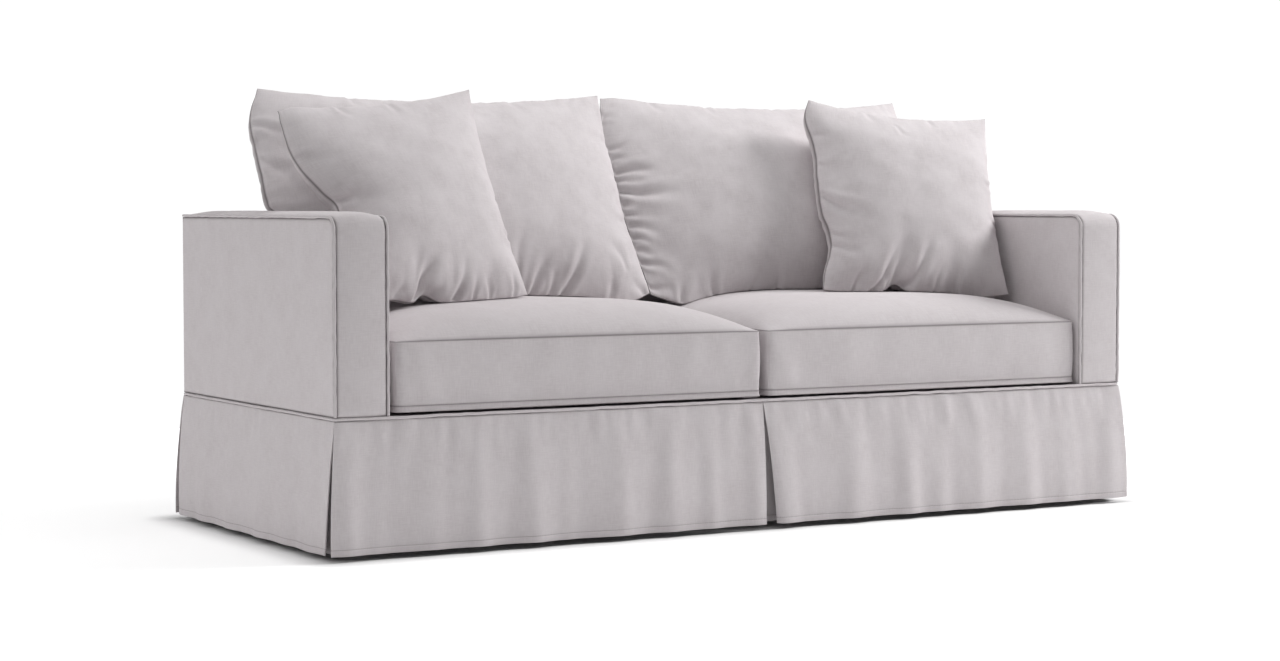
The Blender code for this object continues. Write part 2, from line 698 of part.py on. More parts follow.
def add_knife_cushion(name, form, steps, seat, behind, material):
    """A filled cushion whose two faces meet in one seam, pressed on its seat and on what is behind."""
    corner = {key: Vector(place) for key, place in form["corners"].items()}
    centre = middle_of(list(corner.values()))
    right = corner["top_right"] + corner["bottom_right"] - corner["top_left"] - corner["bottom_left"]
    above = corner["top_left"] + corner["top_right"] - corner["bottom_left"] - corner["bottom_right"]
    width = right.length / 2
    height = above.length / 2
    across = right.normalized()
    forward = across.cross(above).normalized()
    upward = forward.cross(across)
    draw = form["draw"]

    def crease(u, v):
        from_edge = {
            "left": (v, u + 1, height, width),
            "right": (v, 1 - u, height, width),
            "bottom": (u, v + 1, width, height),
            "top": (u, 1 - v, width, height),
        }
        depth_here = 0.0
        for edge, place, length, depth, half_width in form["creases"]:
            along, inward, edge_length, depth_length = from_edge[edge]
            offset = ((along + 1) / 2 - place) * edge_length / half_width
            inside = inward / 2 * depth_length / length
            depth_here += depth * math.exp(-offset * offset - 2 * inside * inside)
        return depth_here

    def drawn(value, other, edge, edge_length, half):
        """The place across the cushion, once this edge has pulled in and its shoulders stand out."""
        out = -draw[edge] * (1.0 - other * other)
        for where, place, reach, half_width in form["shoulders"]:
            if where == edge:
                offset = ((other + 1) / 2 - place) * edge_length / half_width
                out += reach * math.exp(-offset * offset)
        return value * (1.0 + out / half)

    def skin(u, v, side):
        pulled_u = drawn(u, v, "right" if u > 0 else "left", height, width / 2)
        pulled_v = drawn(v, u, "top" if v > 0 else "bottom", width, height / 2)
        right_part = (1 + pulled_u) / 2
        top_part = (1 + pulled_v) / 2
        top = corner["top_left"].lerp(corner["top_right"], right_part)
        bottom = corner["bottom_left"].lerp(corner["bottom_right"], right_part)
        full = bulge(u, KNIFE_SHARPNESS, KNIFE_ROUNDNESS) * bulge(v, KNIFE_SHARPNESS, KNIFE_ROUNDNESS)
        swell = form["front"] * full if side > 0 else form["back"] * full
        swell -= crease(u, v) * min(1.0, 4 * full)
        return bottom.lerp(top, top_part) + forward * max(swell, THINNEST) * side

    across_steps = crowded(steps)
    points, faces = cushion_mesh(across_steps, KNIFE_ROWS, skin, (0,))
    for piece in behind:
        press(points, piece, forward, PILLOW_CLEARANCE)
    press(points, seat, Vector((0.0, 0.0, 1.0)), REST_CLEARANCE)
    for point in points:
        hold_inside(point)
    inner_points = (len(across_steps) - 2) * (len(KNIFE_ROWS) - 2)
    for front, back in zip(range(inner_points), range(inner_points, 2 * inner_points)):
        apart = (points[front] - points[back]).dot(forward)
        points[front] += forward * max(0.0, THINNEST - apart)
    frame = Matrix((across, -forward, upward)).transposed().to_4x4()
    frame.translation = centre
    return add_solid(name, points, faces, material, frame)


def add_cushions(material):
    left_seat = add_seat_cushion("seat_cushion_left", -1, LEFT_DIPS, material)
    right_seat = add_seat_cushion("seat_cushion_right", 1, RIGHT_DIPS, material)
    bpy.context.view_layer.update()
    left_back = add_knife_cushion("back_cushion_left", LEFT_BACK_CUSHION, 18, left_seat, (), material)
    right_back = add_knife_cushion("back_cushion_right", RIGHT_BACK_CUSHION, 18, right_seat, (), material)
    bpy.context.view_layer.update()
    add_knife_cushion("throw_pillow_left", LEFT_PILLOW, 14, left_seat, (left_back,), material)
    add_knife_cushion("throw_pillow_right", RIGHT_PILLOW, 14, right_seat, (right_back,), material)


def main():
    for old in list(bpy.data.objects):
        bpy.data.objects.remove(old)
    panel_cloth = finish("panel_cloth", CLOTH_COLOUR)
    cord_cloth = finish("piping_cloth", CORD_COLOUR)
    cushion_cloth = finish("cushion_cloth", CUSHION_COLOUR)
    for side, mirror, shift in (("left", False, 0.0), ("right", True, 0.35)):
        outer_end = BACK - CLOTH - GAP
        inner_end = INSIDE_BACK - GAP
        inner_foot = DECK_TOP - CLOTH
        add_arm_side(f"arm_outer_{side}", -SIDE, outer_end, PANEL_FOOT, -1, shift, panel_cloth, mirror)
        add_arm_side(f"arm_inner_{side}", -INNER_ARM, inner_end, inner_foot, 0, shift, panel_cloth, mirror)
        add_arm_boxing(f"arm_boxing_{side}", panel_cloth, mirror)
        add_side_skirt(f"skirt_side_{side}", panel_cloth, mirror)
        add_corner_underlay(f"pleat_underlay_front_{side}", panel_cloth, False, mirror)
        add_corner_underlay(f"pleat_underlay_back_{side}", panel_cloth, True, mirror)
    add_back_panels(panel_cloth)
    add_deck(panel_cloth)
    add_front_skirt("skirt_front_left", -1, panel_cloth)
    add_front_skirt("skirt_front_right", 1, panel_cloth)
    add_back_skirt(panel_cloth)
    add_middle_underlay(panel_cloth)
    add_top_cords(cord_cloth)
    add_skirt_cord(cord_cloth)
    add_cushions(cushion_cloth)


main()
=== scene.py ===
import math

import bmesh
import bpy
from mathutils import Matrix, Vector, noise
from mathutils.bvhtree import BVHTree


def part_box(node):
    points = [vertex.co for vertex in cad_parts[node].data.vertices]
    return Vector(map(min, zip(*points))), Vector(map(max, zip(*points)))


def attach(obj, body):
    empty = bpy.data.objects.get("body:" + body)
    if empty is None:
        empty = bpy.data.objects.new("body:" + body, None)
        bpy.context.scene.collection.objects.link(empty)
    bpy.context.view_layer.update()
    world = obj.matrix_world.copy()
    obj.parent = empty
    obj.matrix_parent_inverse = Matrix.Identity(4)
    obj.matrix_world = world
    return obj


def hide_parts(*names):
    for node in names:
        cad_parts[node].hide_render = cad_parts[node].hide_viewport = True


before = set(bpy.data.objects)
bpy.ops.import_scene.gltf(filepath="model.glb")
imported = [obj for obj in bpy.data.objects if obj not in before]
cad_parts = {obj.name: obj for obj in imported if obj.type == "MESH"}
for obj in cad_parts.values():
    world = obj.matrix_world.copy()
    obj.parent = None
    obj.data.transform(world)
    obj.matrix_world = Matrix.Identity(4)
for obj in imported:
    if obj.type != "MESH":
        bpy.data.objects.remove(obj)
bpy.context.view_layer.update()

# Sizes read from the frame, in metres.
boxingLow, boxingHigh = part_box("arm_boxing_left")
cover = {
    "side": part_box("back_outer_panel")[1].x,  # middle to the outer face of an arm
    "innerArm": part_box("back_inner_panel")[1].x,  # middle to the inner face of an arm
    "front": boxingLow.y,
    "back": boxingHigh.y + 0.0048,  # the boxing ends at the cord before it
    "insideBack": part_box("back_inner_panel")[0].y,
    "top": boxingHigh.z,
    "foot": boxingLow.z,  # lower edge of the panels, over the skirt's cord
    "deck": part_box("seat_deck")[1].z,
    "skirtTop": 0.2627,
    "cord": 0.003,  # radius of the piping
    "cordInset": 0.0015,
    "seam": 0.0048,  # from a corner to the panel's edge beside the cord
    "gap": 0.0003,  # between neighbouring pieces
    "thick": 0.0024,  # of the cloth
    "corner": 0.030,  # round top front corner of an arm
    "floor": -0.012,
    "hem": 0.013,  # height of the hem's stitching
}


def linear(value):  # one sRGB channel to linear
    return value / 12.92 if value <= 0.04045 else ((value + 0.055) / 1.055) ** 2.4


def colour(hexText):
    return (*[linear(int(hexText[i:i + 2], 16) / 255) for i in (1, 3, 5)], 1.0)


def spread(start, end, steps):
    return [start + (end - start) * i / steps for i in range(steps + 1)]


def smooth(value):  # 0 to 1 with soft ends
    value = max(0.0, min(1.0, value))
    return value * value * (3 - 2 * value)


def grain(x, y, z=0.0):  # soft noise from about -1 to 1
    return noise.noise(Vector((x, y, z)))


def inMetres(first, *rows):
    # A row starts with so many words or percents, and the rest of it is in mm.
    return [(*[value if isinstance(value, str) else value / 100 for value in row[:first]],
             *[value / 1000 for value in row[first:]]) for row in rows]


def stops(length, coarse, near=(), lines=()):
    # Places from 0 to 1: near both ends and beside each line they lie at the near distances.
    places = {0.0, length}
    for line in (0.0, length, *lines):
        for offset in (0.0, *near):
            places.update(round(place, 5) for place in (line - offset, line + offset) if 0 < place < length)
    places = sorted(places)
    filled = []
    for start, end in zip(places, places[1:]):
        count = max(1, round((end - start) / coarse))
        filled += spread(start, end, count)[:-1]
    kept = [0.0]
    for place in filled[1:]:
        if place - kept[-1] > 0.0007 and length - place > 0.0007:
            kept.append(place)
    return [place / length for place in kept + [length]]


def sideName(side):  # side is -1 for the left and 1 for the right everywhere
    return "left" if side < 0 else "right"


def edgeOff(u, v, width, height):
    # Distance to the nearest edge of a panel of this size, for u and v from 0 to 1.
    return min(u * width, (1 - u) * width, v * height, (1 - v) * height)


def gridPlace(vertex, us, vs):
    # Column and row of this vertex in a grid from -1 to 1.
    return round((vertex.co.x + 1) / 2 * (len(us) - 1)), round((vertex.co.y + 1) / 2 * (len(vs) - 1))


def addGrid(us, vs):
    bpy.ops.mesh.primitive_grid_add(x_subdivisions=len(us) - 1, y_subdivisions=len(vs) - 1, size=2)
    return bpy.context.object


def onlySelect(piece):
    bpy.ops.object.select_all(action="DESELECT")
    piece.select_set(True)
    bpy.context.view_layer.objects.active = piece


def applyAll(piece):
    onlySelect(piece)
    for modifier in list(piece.modifiers):
        bpy.ops.object.modifier_apply(modifier=modifier.name)


def setSeamShade(mesh, values):
    # How much painted shade each vertex gets beside a seam, from 0 to 1, for the cloth's material.
    layer = mesh.attributes.get("seam") or mesh.attributes.new("seam", "FLOAT", "POINT")
    for spot, value in zip(layer.data, values):
        spot.value = value


def setPlaces(mesh, places):
    for vertex, place in zip(mesh.vertices, places):
        vertex.co = place
    mesh.update()


def setUv(mesh, places):
    # places gives (u, v) in metres for each vertex, so that a weave keeps its real scale.
    layer = mesh.uv_layers.active or mesh.uv_layers.new(name="UVMap")
    for loop in mesh.loops:
        layer.data[loop.index].uv = places[loop.vertex_index]


def treeOf(piece):
    body = bmesh.new()
    body.from_mesh(piece.data)
    tree = BVHTree.FromBMesh(body)
    body.free()
    return tree


def soften(piece):
    rounder = piece.modifiers.new("soften", "SUBSURF")
    rounder.levels = 1
    rounder.render_levels = 1
    applyAll(piece)


def dress(piece, node, material):
    # The piece is named after the CAD's node, without the words that say nothing here.
    first, *others = [word for word in node.split("_") if word not in ("pleat", "panel", "throw")]
    piece.name = first + "".join(word.capitalize() for word in others)
    piece.data.name = piece.name
    piece.data.materials.clear()
    piece.data.materials.append(material)
    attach(piece, "root")
    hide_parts(node)


def addNode(tree, kind, links=(), **settings):
    # A shader node of this kind with its settings; links are (socket, value or output).
    node = tree.nodes.new("ShaderNode" + kind)
    for name, value in settings.items():
        setattr(node, name, value)
    for socket, value in links:
        if isinstance(value, bpy.types.NodeSocket):
            tree.links.new(value, node.inputs[socket])
        else:
            node.inputs[socket].default_value = value
    return node


def remap(tree, value, low, high, most, curve="LINEAR"):
    # From 0 at the low value to the most at the high one.
    return addNode(tree, "MapRange", [("Value", value), ("From Min", low), ("From Max", high),
                   ("To Max", most)], interpolation_type=curve).outputs["Result"]


clothLook = {
    "base": "#cbc5c7",  # pale pinkish grey
    "deep": "#c4bdbf",  # where the pile is brushed the other way
    "light": "#d6d1d2",  # tips of the pile
    "seam": "#5b5355",  # painted shade down in a seam, with its darker sewing thread
    "thread": "#a59d9f",  # of the hem's stitches
    "yarn": 2.2,  # mm across a yarn; the real ones are 0.5 mm, drawn coarser so that they show
    "slub": 24.0,  # mm, how long a thick or thin stretch of yarn runs
    "patch": 52.0,  # mm, soft patches of the brushed pile
    "nap": 5.0,  # mm, small marks in the pile
    "relief": 0.0009,  # metres
    "stitch": 0.0042,  # metres from one to the next
    "stitchWidth": 0.0007,
    "roughness": 0.93,
    "sheen": 0.20,
}


def brushedCotton(name, look, hemLine=None):
    # Brushed cotton canvas, woven plain and raised on its face. That makes it matte, with a soft
    # pale edge where it turns away, faint patches where the pile lies another way, and slubby yarns.
    material = bpy.data.materials.new(name)
    material.use_nodes = True
    tree = material.node_tree
    shader = tree.nodes["Principled BSDF"]
    for socket, value in (("Roughness", look["roughness"]), ("Sheen Weight", look["sheen"]),
                          ("Sheen Roughness", 0.55), ("Sheen Tint", colour(look["light"])),
                          ("Specular IOR Level", 0.2)):
        shader.inputs[socket].default_value = value
    place = addNode(tree, "TexCoord")
    flat = place.outputs["UV"]

    def noiseAt(where, scale, detail, rough):
        return addNode(tree, "TexNoise", [("Vector", where), ("Scale", scale), ("Detail", detail),
                       ("Roughness", rough)]).outputs["Fac"]

    yarn, slub = 1000 / look["yarn"], 1000 / look["slub"]
    turned = [addNode(tree, "Mapping", [("Vector", flat), ("Scale", scale)]).outputs["Vector"]
              for scale in ((slub, yarn, 1.0), (yarn, slub, 1.0))]
    warp, weft = [noiseAt(laid, 1.0, 2.0, 0.6) for laid in turned]
    weave = addNode(tree, "Mix", [(0, 0.5), (2, warp), (3, weft)], data_type="FLOAT").outputs[0]
    patch, nap = [noiseAt(place.outputs["Object"], 1000 / look[mark], 3.0, rough)
                  for mark, rough in (("patch", 0.55), ("nap", 0.65))]
    # Along a seam the colour is painted darker: painted shade where the cloth dips out of the light, and
    # partly its sewing thread that shows there.
    seam = addNode(tree, "Attribute", attribute_name="seam").outputs["Fac"]
    shares = [(remap(tree, patch, 0.35, 0.7, 0.75), "deep"), (remap(tree, weave, 0.4, 0.62, 0.55), "light"),
              (seam, "seam")]
    if hemLine:
        # A row of stitches along the top of the hem, in slightly darker thread.
        parts = addNode(tree, "SeparateXYZ", [("Vector", flat)])
        values = []
        for axis, steps in (
                ("Y", (("SUBTRACT", hemLine), ("ABSOLUTE", 0.0), ("LESS_THAN", look["stitchWidth"]))),
                ("X", (("MULTIPLY", 1 / look["stitch"]), ("FRACT", 0.0), ("LESS_THAN", 0.7)))):
            value = parts.outputs[axis]
            for operation, other in steps:
                value = addNode(tree, "Math", [(0, value), (1, other)], operation=operation).outputs[0]
            values.append(value)
        stitch = addNode(tree, "Math", list(enumerate(values)), operation="MULTIPLY")
        shares.append((stitch.outputs[0], "thread"))
    shown = colour(look["base"])
    for share, tone in shares:
        shown = addNode(tree, "Mix", [(0, share), (6, shown), (7, colour(look[tone]))],
                        data_type="RGBA").outputs[2]
    tree.links.new(shown, shader.inputs["Base Color"])
    relief = addNode(tree, "Mix", [(0, 0.4), (2, weave), (3, nap)], data_type="FLOAT")
    bump = addNode(tree, "Bump", [("Height", relief.outputs[0]), ("Strength", 0.30),
                   ("Distance", look["relief"])])
    tree.links.new(bump.outputs["Normal"], shader.inputs["Normal"])
    return material


panelCloth = brushedCotton("brushedCottonPanels", clothLook)
hemCloth = brushedCotton("brushedCottonHemmed", clothLook, cover["hem"])
# Every piece is the same cloth; the darker bases of the cords and seats are painted shade and the lighter
# base of the cushions is painted light.
cordClothShaded = brushedCotton("brushedCottonBiasShaded", dict(clothLook, base="#c6c0c2", yarn=1.6, slub=9.0))
seatClothShaded = brushedCotton("brushedCottonSeatsShaded", dict(clothLook, base="#cac4c6"))
cushionClothLit = brushedCotton("brushedCottonCushionsLit", dict(clothLook, base="#d3cdcf", light="#dbd6d7"))
print("materials ready")


sewing = {
    "puckerHeight": 0.0018,  # of the small gathers beside a seam
    "puckerReach": 0.020,
    "puckerPitch": 0.016,
    "rippleHeight": 0.0016,  # soft unevenness of the whole panel
    "ripplePitch": 0.22,
    "dip": 0.0027,  # how far a panel's edge is pulled down beside its cord
    "dipReach": 0.0024,
    "seamShade": 0.8,  # how dark the painted shade makes the cloth down there
    "outerEnd": 0.0028,  # the arms' outer panels end this far before the back's corner
    "tuckIn": 0.0025,  # and their inner panels this far below the deck
    "near": (0.0013, 0.0028, 0.005, 0.009, 0.014),
    "coarse": 0.0065,
    "plain": 0.0095,  # mesh size of panels with hardly a fold
    "plainLong": 0.012,
    "hidden": 0.020,  # mesh size of the panels that lie behind cushions
}


def pucker(distance, along, seed, height=None):
    # Small gathers across a seam, which fade away from it.
    size = sewing["puckerHeight"] if height is None else height
    pitch = sewing["puckerPitch"] * (1.0 + 0.5 * grain(along * 3.1, seed))
    wave = grain(along / pitch, distance * 14, seed) + 0.5 * grain(along / pitch * 2.3, seed + 7.7)
    return size * math.exp(-max(distance, 0.0) / sewing["puckerReach"]) * wave


def ripple(across, up, seed, height=None, pitch=None):
    size = sewing["rippleHeight"] if height is None else height
    scale = pitch or sewing["ripplePitch"]
    return size * (grain(across / scale, up / scale * 0.7, seed) + 0.4 * grain(across / scale * 2.4,
                   up / scale * 1.9, seed + 3.3))


def makeSheet(node, place, size, rise, corded=None, rows=None, columns=None, held="stretched"):
    # A sheet of cloth in the place of one solid. place(u, v) is its smooth outer face, seen from
    # outside with u to the right, and rise(u, v) is how far its folds stand out from that.
    # corded(u, v) is the distance to the nearest edge where it is pulled down into a seam and painted darker
    # with painted shade.
    width, height = size
    us = columns or stops(width, sewing["coarse"], sewing["near"])
    vs = rows or stops(height, sewing["coarse"], sewing["near"])
    piece = addGrid(us, vs)
    places = [gridPlace(vertex, us, vs) for vertex in piece.data.vertices]
    face = [[Vector(place(u, v)) for v in vs] for u in us]
    seamShades = []
    for vertex, (i, j) in zip(piece.data.vertices, places):
        along = face[min(i + 1, len(us) - 1)][j] - face[max(i - 1, 0)][j]
        up = face[i][min(j + 1, len(vs) - 1)] - face[i][max(j - 1, 0)]
        off = corded(us[i], vs[j]) if corded else 1.0
        sunk = math.exp(-(off / sewing["dipReach"]) ** 2)
        # painted shade along the seam, as dark as the dip is deep
        seamShades.append(sewing["seamShade"] * sunk)
        vertex.co = face[i][j] + along.cross(up).normalized() * (rise(us[i], vs[j]) - sewing["dip"] * sunk)
    setUv(piece.data, [(us[i] * width, vs[j] * height) for i, j in places])
    setSeamShade(piece.data, seamShades)
    wall = piece.modifiers.new("cloth", "SOLIDIFY")
    wall.thickness = cover["thick"]
    wall.offset = -1
    wall.use_even_offset = False
    applyAll(piece)
    bpy.ops.object.shade_smooth_by_angle(angle=math.radians(50))
    dress(piece, node, hemCloth if held == "hung" else panelCloth)


def armEdge(inset, foot, end, fineness=0.008):
    # Side view of an arm's edge as (y, z): up the front, round the corner and back along the top.
    radius = cover["corner"] - inset
    middleY = cover["front"] + cover["corner"]
    middleZ = cover["top"] - cover["corner"]
    rise = max(2, round((middleZ - foot) / fineness))
    edge = [(cover["front"] + inset, z) for z in spread(foot, middleZ, rise)[:-1]]
    for turn in spread(0.0, math.pi / 2, 10):
        edge.append((middleY - radius * math.cos(turn), middleZ + radius * math.sin(turn)))
    run = max(2, round((end - middleY) / fineness))
    edge += [(y, cover["top"] - inset) for y in spread(middleY, end, run)[1:]]
    return edge


def armTopAt(y, inset):
    # Height of the arm's edge at this depth, which falls away round the front corner.
    middleY = cover["front"] + cover["corner"]
    radius = cover["corner"] - inset
    if y >= middleY:
        return cover["top"] - inset
    drop = max(0.0, radius * radius - (middleY - y) ** 2)
    return cover["top"] - cover["corner"] + math.sqrt(drop)


def armSide(side, outer):
    # The flat outer or inner panel of one arm.
    seed = 3.0 + side + (5.0 if outer else 0.0)
    x = side * (cover["side"] if outer else cover["innerArm"])
    start = cover["front"] + cover["seam"]
    end = cover["back"] - sewing["outerEnd"] if outer else cover["insideBack"] - cover["gap"]
    foot = cover["foot"] if outer else cover["deck"] - sewing["tuckIn"]
    length = end - start
    height = cover["top"] - cover["seam"] - foot
    fromBack = (side < 0) == outer  # which way u runs, so that the face points outwards

    def place(u, v):
        y = end - u * length if fromBack else start + u * length
        return x, y, foot + v * (armTopAt(y, cover["seam"]) - foot)

    def rise(u, v):
        y, z = (1 - u if fromBack else u) * length, v * height
        edge = edgeOff(u, v, length, height)
        folds = pucker(y, z, seed) + pucker(height - z, y, seed + 1) + pucker(z, y, seed + 2, 0.0006)
        swell = ripple(y, z, seed) * smooth(edge / 0.05) + folds * smooth(edge / 0.004)
        return swell if outer else 0.4 * swell

    def corded(u, v):
        y, z = (1 - u if fromBack else u) * length, v * height
        return min(y, z, height - z) if outer else min(y, height - z)

    coarse = sewing["coarse"] if outer else sewing["plain"]
    rows, columns = [stops(reach, coarse, sewing["near"]) for reach in (height, length)]
    makeSheet(f"arm_{'outer' if outer else 'inner'}_{sideName(side)}", place, (length, height), rise,
              corded, rows, columns)


def armBoxing(side):
    # The strip that runs up the arm's front and back along its top.
    seed = 20.0 + side
    edge = armEdge(0.0, cover["foot"], cover["back"] - cover["seam"], 0.006)
    edge[1:1] = [(cover["front"], cover["foot"] + step) for step in sewing["near"][:2]]
    lengths = [0.0]
    for start, end in zip(edge, edge[1:]):
        lengths.append(lengths[-1] + math.dist(start, end))
    total = lengths[-1]
    rows = [length / total for length in lengths]
    low = cover["innerArm"] + cover["seam"] if side > 0 else -cover["side"] + cover["seam"]
    width = cover["side"] - cover["innerArm"] - 2 * cover["seam"]

    def place(u, v):
        return low + u * width, *edge[rows.index(v)]

    def rise(u, v):
        x, along = u * width, v * total
        off = min(x, width - x)
        folds = pucker(x, along, seed) + pucker(width - x, along, seed + 4)
        onTop = smooth((along - cover["top"] + cover["foot"] + 0.02) / 0.07) * smooth((total - along) / 0.06)
        crown = (0.0020 + 0.0072 * onTop) * math.sin(math.pi * u) ** 0.8
        return crown + ripple(x, along, seed, 0.0012, 0.12) * smooth(off / 0.03) + folds * smooth(off / 0.003)

    makeSheet(f"arm_boxing_{sideName(side)}", place, (width, total), rise,
              lambda u, v: edgeOff(u, v, width, total), rows)


for armSign in (-1, 1):
    armSide(armSign, True)
    armSide(armSign, False)
    armBoxing(armSign)
print("arms sewn")


def backOuter():
    low, wide = cover["foot"], 2 * cover["side"]
    tall = cover["top"] - cover["seam"] - low

    def rise(u, v):
        x, z = wide * u, v * tall
        edge = edgeOff(u, v, wide, tall)
        folds = pucker(tall - z, x, 31) + pucker(z, x, 32, 0.0007) + pucker(min(x, wide - x), z, 33)
        return ripple(x, z, 30, 0.0022, 0.3) * smooth(edge / 0.06) + folds * smooth(edge / 0.004)

    makeSheet("back_outer_panel", lambda u, v: (wide / 2 - wide * u, cover["back"], low + v * tall),
              (wide, tall), rise, lambda u, v: edgeOff(u, v, wide, tall),
              stops(tall, sewing["plain"], sewing["near"]), stops(wide, sewing["plainLong"], sewing["near"]))


def backInner():
    low, wide = cover["deck"] + cover["gap"], 2 * cover["innerArm"]
    tall = cover["top"] - cover["seam"] - low

    def rise(u, v):
        z = v * tall
        return -0.0006 * abs(grain(u * 30, z * 9, 35)) * smooth(min(z, tall - z) / 0.01)

    makeSheet("back_inner_panel", lambda u, v: (wide * u - wide / 2, cover["insideBack"], low + v * tall),
              (wide, tall), rise, lambda u, v: tall - v * tall, None, stops(wide, sewing["hidden"], (0.005,)))


def backBoxing():
    wide = 2 * (cover["innerArm"] + cover["seam"] - cover["gap"])
    near = cover["insideBack"] + cover["seam"]
    depth = cover["back"] - cover["seam"] - near

    def rise(u, v):
        x, y = wide * u, v * depth
        edge = min(y, depth - y)
        folds = pucker(y, x, 37) + pucker(depth - y, x, 38)
        swell = 0.0012 * math.sin(math.pi * v) + ripple(x, y, 36, 0.001, 0.13) * smooth(edge / 0.03)
        return swell + folds * smooth(edge / 0.003)

    makeSheet("back_boxing", lambda u, v: (wide * u - wide / 2, near + v * depth, cover["top"]),
              (wide, depth), rise, lambda u, v: edgeOff(u, v, wide, depth))


def seatDeck():
    low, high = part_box("seat_deck")
    size = (high.x - low.x, high.y - low.y)
    columns, rows = [stops(length, sewing["hidden"], (0.005,)) for length in size]
    makeSheet("seat_deck", lambda u, v: (low.x + u * size[0], low.y + v * size[1], high.z), size,
              lambda u, v: -0.0004 * abs(grain(u * 24, v * 12, 40)) * smooth(edgeOff(u, v, *size) / 0.02),
              None, rows, columns)


backOuter()
backInner()
backBoxing()
seatDeck()
print("back and deck sewn")


skirt = {
    "flare": 0.020,  # how far the hem stands out
    "left": 0.002,  # opening of the front pleat to either side of the middle, at the hem
    "right": 0.029,
    "cornerGap": 0.031,  # what a side panel draws back from its corner, at the hem
    "cornerLap": 0.004,
    "rollDepth": 0.010,  # the rolled edge beside the front pleat
    "rollWidth": 0.014,
    "hemThick": 0.0005,
    "stitchDepth": 0.0007,
    "underlayWidth": 0.160,
    "underlayLeg": 0.085,
    "underlaySetback": 0.020,
    "middleSetback": 0.046,
    "underlayDrop": 0.0012,
    "underlayBend": 0.006,
    "foldGain": 1.6,
    "frontLap": 0.013,  # what pleat and corner take from a front panel's flat width
    "backFlat": 2.03,
    "gathers": 0.0034,  # small tucks under the cord
    "waves": 0.0019,
    "hemWaves": 0.0009,
    "fine": 0.0065,  # mesh size of the front and side panels
    "plain": 0.0105,  # and of the back panel
    # Each fold: place along the panel from the middle (or from the front on a side), half width,
    # reach and lean.
    "frontFolds": inMetres(0,
        (-974, 30, 5, 12), (-794, 45, 3, -10), (-691, 32, 5.5, 8), (-564, 36, 6.5, 4), (-368, 42, 7, -6),
        (-232, 30, 6.5, 10), (-135, 26, 3, 6), (-22, 26, 4, 0), (50, 34, 6, 12), (232, 36, 7, 6),
        (379, 34, 6, 0), (473, 26, 2.8, -4), (576, 34, 5.5, 4), (715, 40, 4.5, 10), (833, 34, 2.8, 0),
        (966, 34, 4.5, -6)),
    "sideFolds": inMetres(0,
        (85, 34, 3, 4), (225, 30, 2.5, -4), (345, 34, 3.8, 4), (505, 36, 4, -6), (668, 34, 3.6, 4),
        (775, 28, 3, 0)),
    "backFolds": inMetres(0,
        (-930, 40, 4.5, 6), (-720, 46, 5.5, -6), (-515, 40, 4.5, 8), (-300, 48, 6, 0), (-85, 40, 4.5, -8),
        (120, 46, 5.5, 6), (345, 42, 5, 0), (560, 46, 5.5, -6), (760, 40, 4.5, 6), (940, 38, 4.5, 0)),
}


def flareAt(drop):
    return skirt["flare"] * (1.0 - (1.0 - drop) ** 1.8)


def foldsAt(place, drop, folds):
    # A fold grows towards the hem and leans a little.
    total = 0.0
    for middle, halfWidth, reach, lean in folds:
        offset = (place - middle - lean * (drop - 1.0)) / halfWidth
        total += reach * math.exp(-offset * offset)
    return skirt["foldGain"] * (total - max(fold[2] for fold in folds) / 2) * drop ** 0.65


def hemRise(z):
    # The turned-up hem is a little thicker, with a sunk line of stitching along its top.
    edge = (z - cover["hem"]) / 0.0014
    return skirt["hemThick"] * smooth(-edge * 0.5 + 0.5) - skirt["stitchDepth"] * math.exp(-edge * edge)


def gathers(along, drop, seed):
    # Small tucks just under the cord, where the skirt is eased into its seam.
    wave = grain(along / 0.036, seed, drop * 1.3) + 0.5 * grain(along / 0.017, seed + 2.0, drop * 3)
    return skirt["gathers"] * wave * math.exp(-((drop - 0.10) / 0.15) ** 2)


def skirtRise(along, v, seed):
    drop = 1.0 - v
    z = v * cover["skirtTop"]
    small = skirt["waves"] * grain(along / 0.038, drop * 1.1, seed) * smooth(drop * 3)
    wavyHem = skirt["hemWaves"] * grain(along / 0.05, seed, 5.0) * smooth((drop - 0.7) / 0.3)
    return hemRise(z) + gathers(along, drop, seed) + small + wavyHem


def underCord(u, v):
    return (1.0 - v) * cover["skirtTop"] + 0.0018  # this seam is drawn in less and gets less painted shade than the others


def underPanel(drop):
    # How far a piece lies in from the corner, behind the cloth that covers it.
    return cover["thick"] + 2 * cover["gap"] - flareAt(drop)


skirtRows = stops(cover["skirtTop"], 0.008, (0.0015, 0.003, 0.0055), (cover["hem"],))


def hang(node, place, width, rise, columns, corded=underCord):
    makeSheet(node, place, (width, cover["skirtTop"]), rise, corded, skirtRows, columns, "hung")


def frontSkirt(side):
    def place(u, v):
        drop = 1.0 - v
        pleat = cover["gap"] / 2 + skirt[sideName(side)] * drop ** 0.85
        corner = cover["side"] + flareAt(drop) - skirt["cornerLap"] * drop
        x = (pleat if side > 0 else -corner) + (corner - pleat) * u
        y = cover["front"] - flareAt(drop) - foldsAt(x, drop, skirt["frontFolds"])
        if side > 0:
            inward = max(0.0, 1.0 - u * cover["side"] / skirt["rollWidth"])
            y += skirt["rollDepth"] * drop * inward * inward
        return x, y, v * cover["skirtTop"]

    hang(f"skirt_front_{sideName(side)}", place, cover["side"] + skirt["flare"] - skirt["frontLap"],
         lambda u, v: skirtRise(u, v, 50.0 + side),
         stops(cover["side"], skirt["fine"], (0.002, 0.004, 0.008, 0.012)))


def sideSkirt(side):
    depth = cover["back"] - cover["front"]

    def place(u, v):
        drop = 1.0 - v
        inset = underPanel(drop) + skirt["cornerGap"] * drop
        front, back = cover["front"] + inset, cover["back"] - inset
        y = back + (front - back) * u if side < 0 else front + (back - front) * u
        reach = cover["side"] + flareAt(drop) + foldsAt(y - cover["front"], drop, skirt["sideFolds"])
        return side * reach, y, v * cover["skirtTop"]

    hang(f"skirt_side_{sideName(side)}", place, depth, lambda u, v: skirtRise(u * 0.82, v, 60.0 + side),
         stops(depth, skirt["fine"], (0.002, 0.004)))


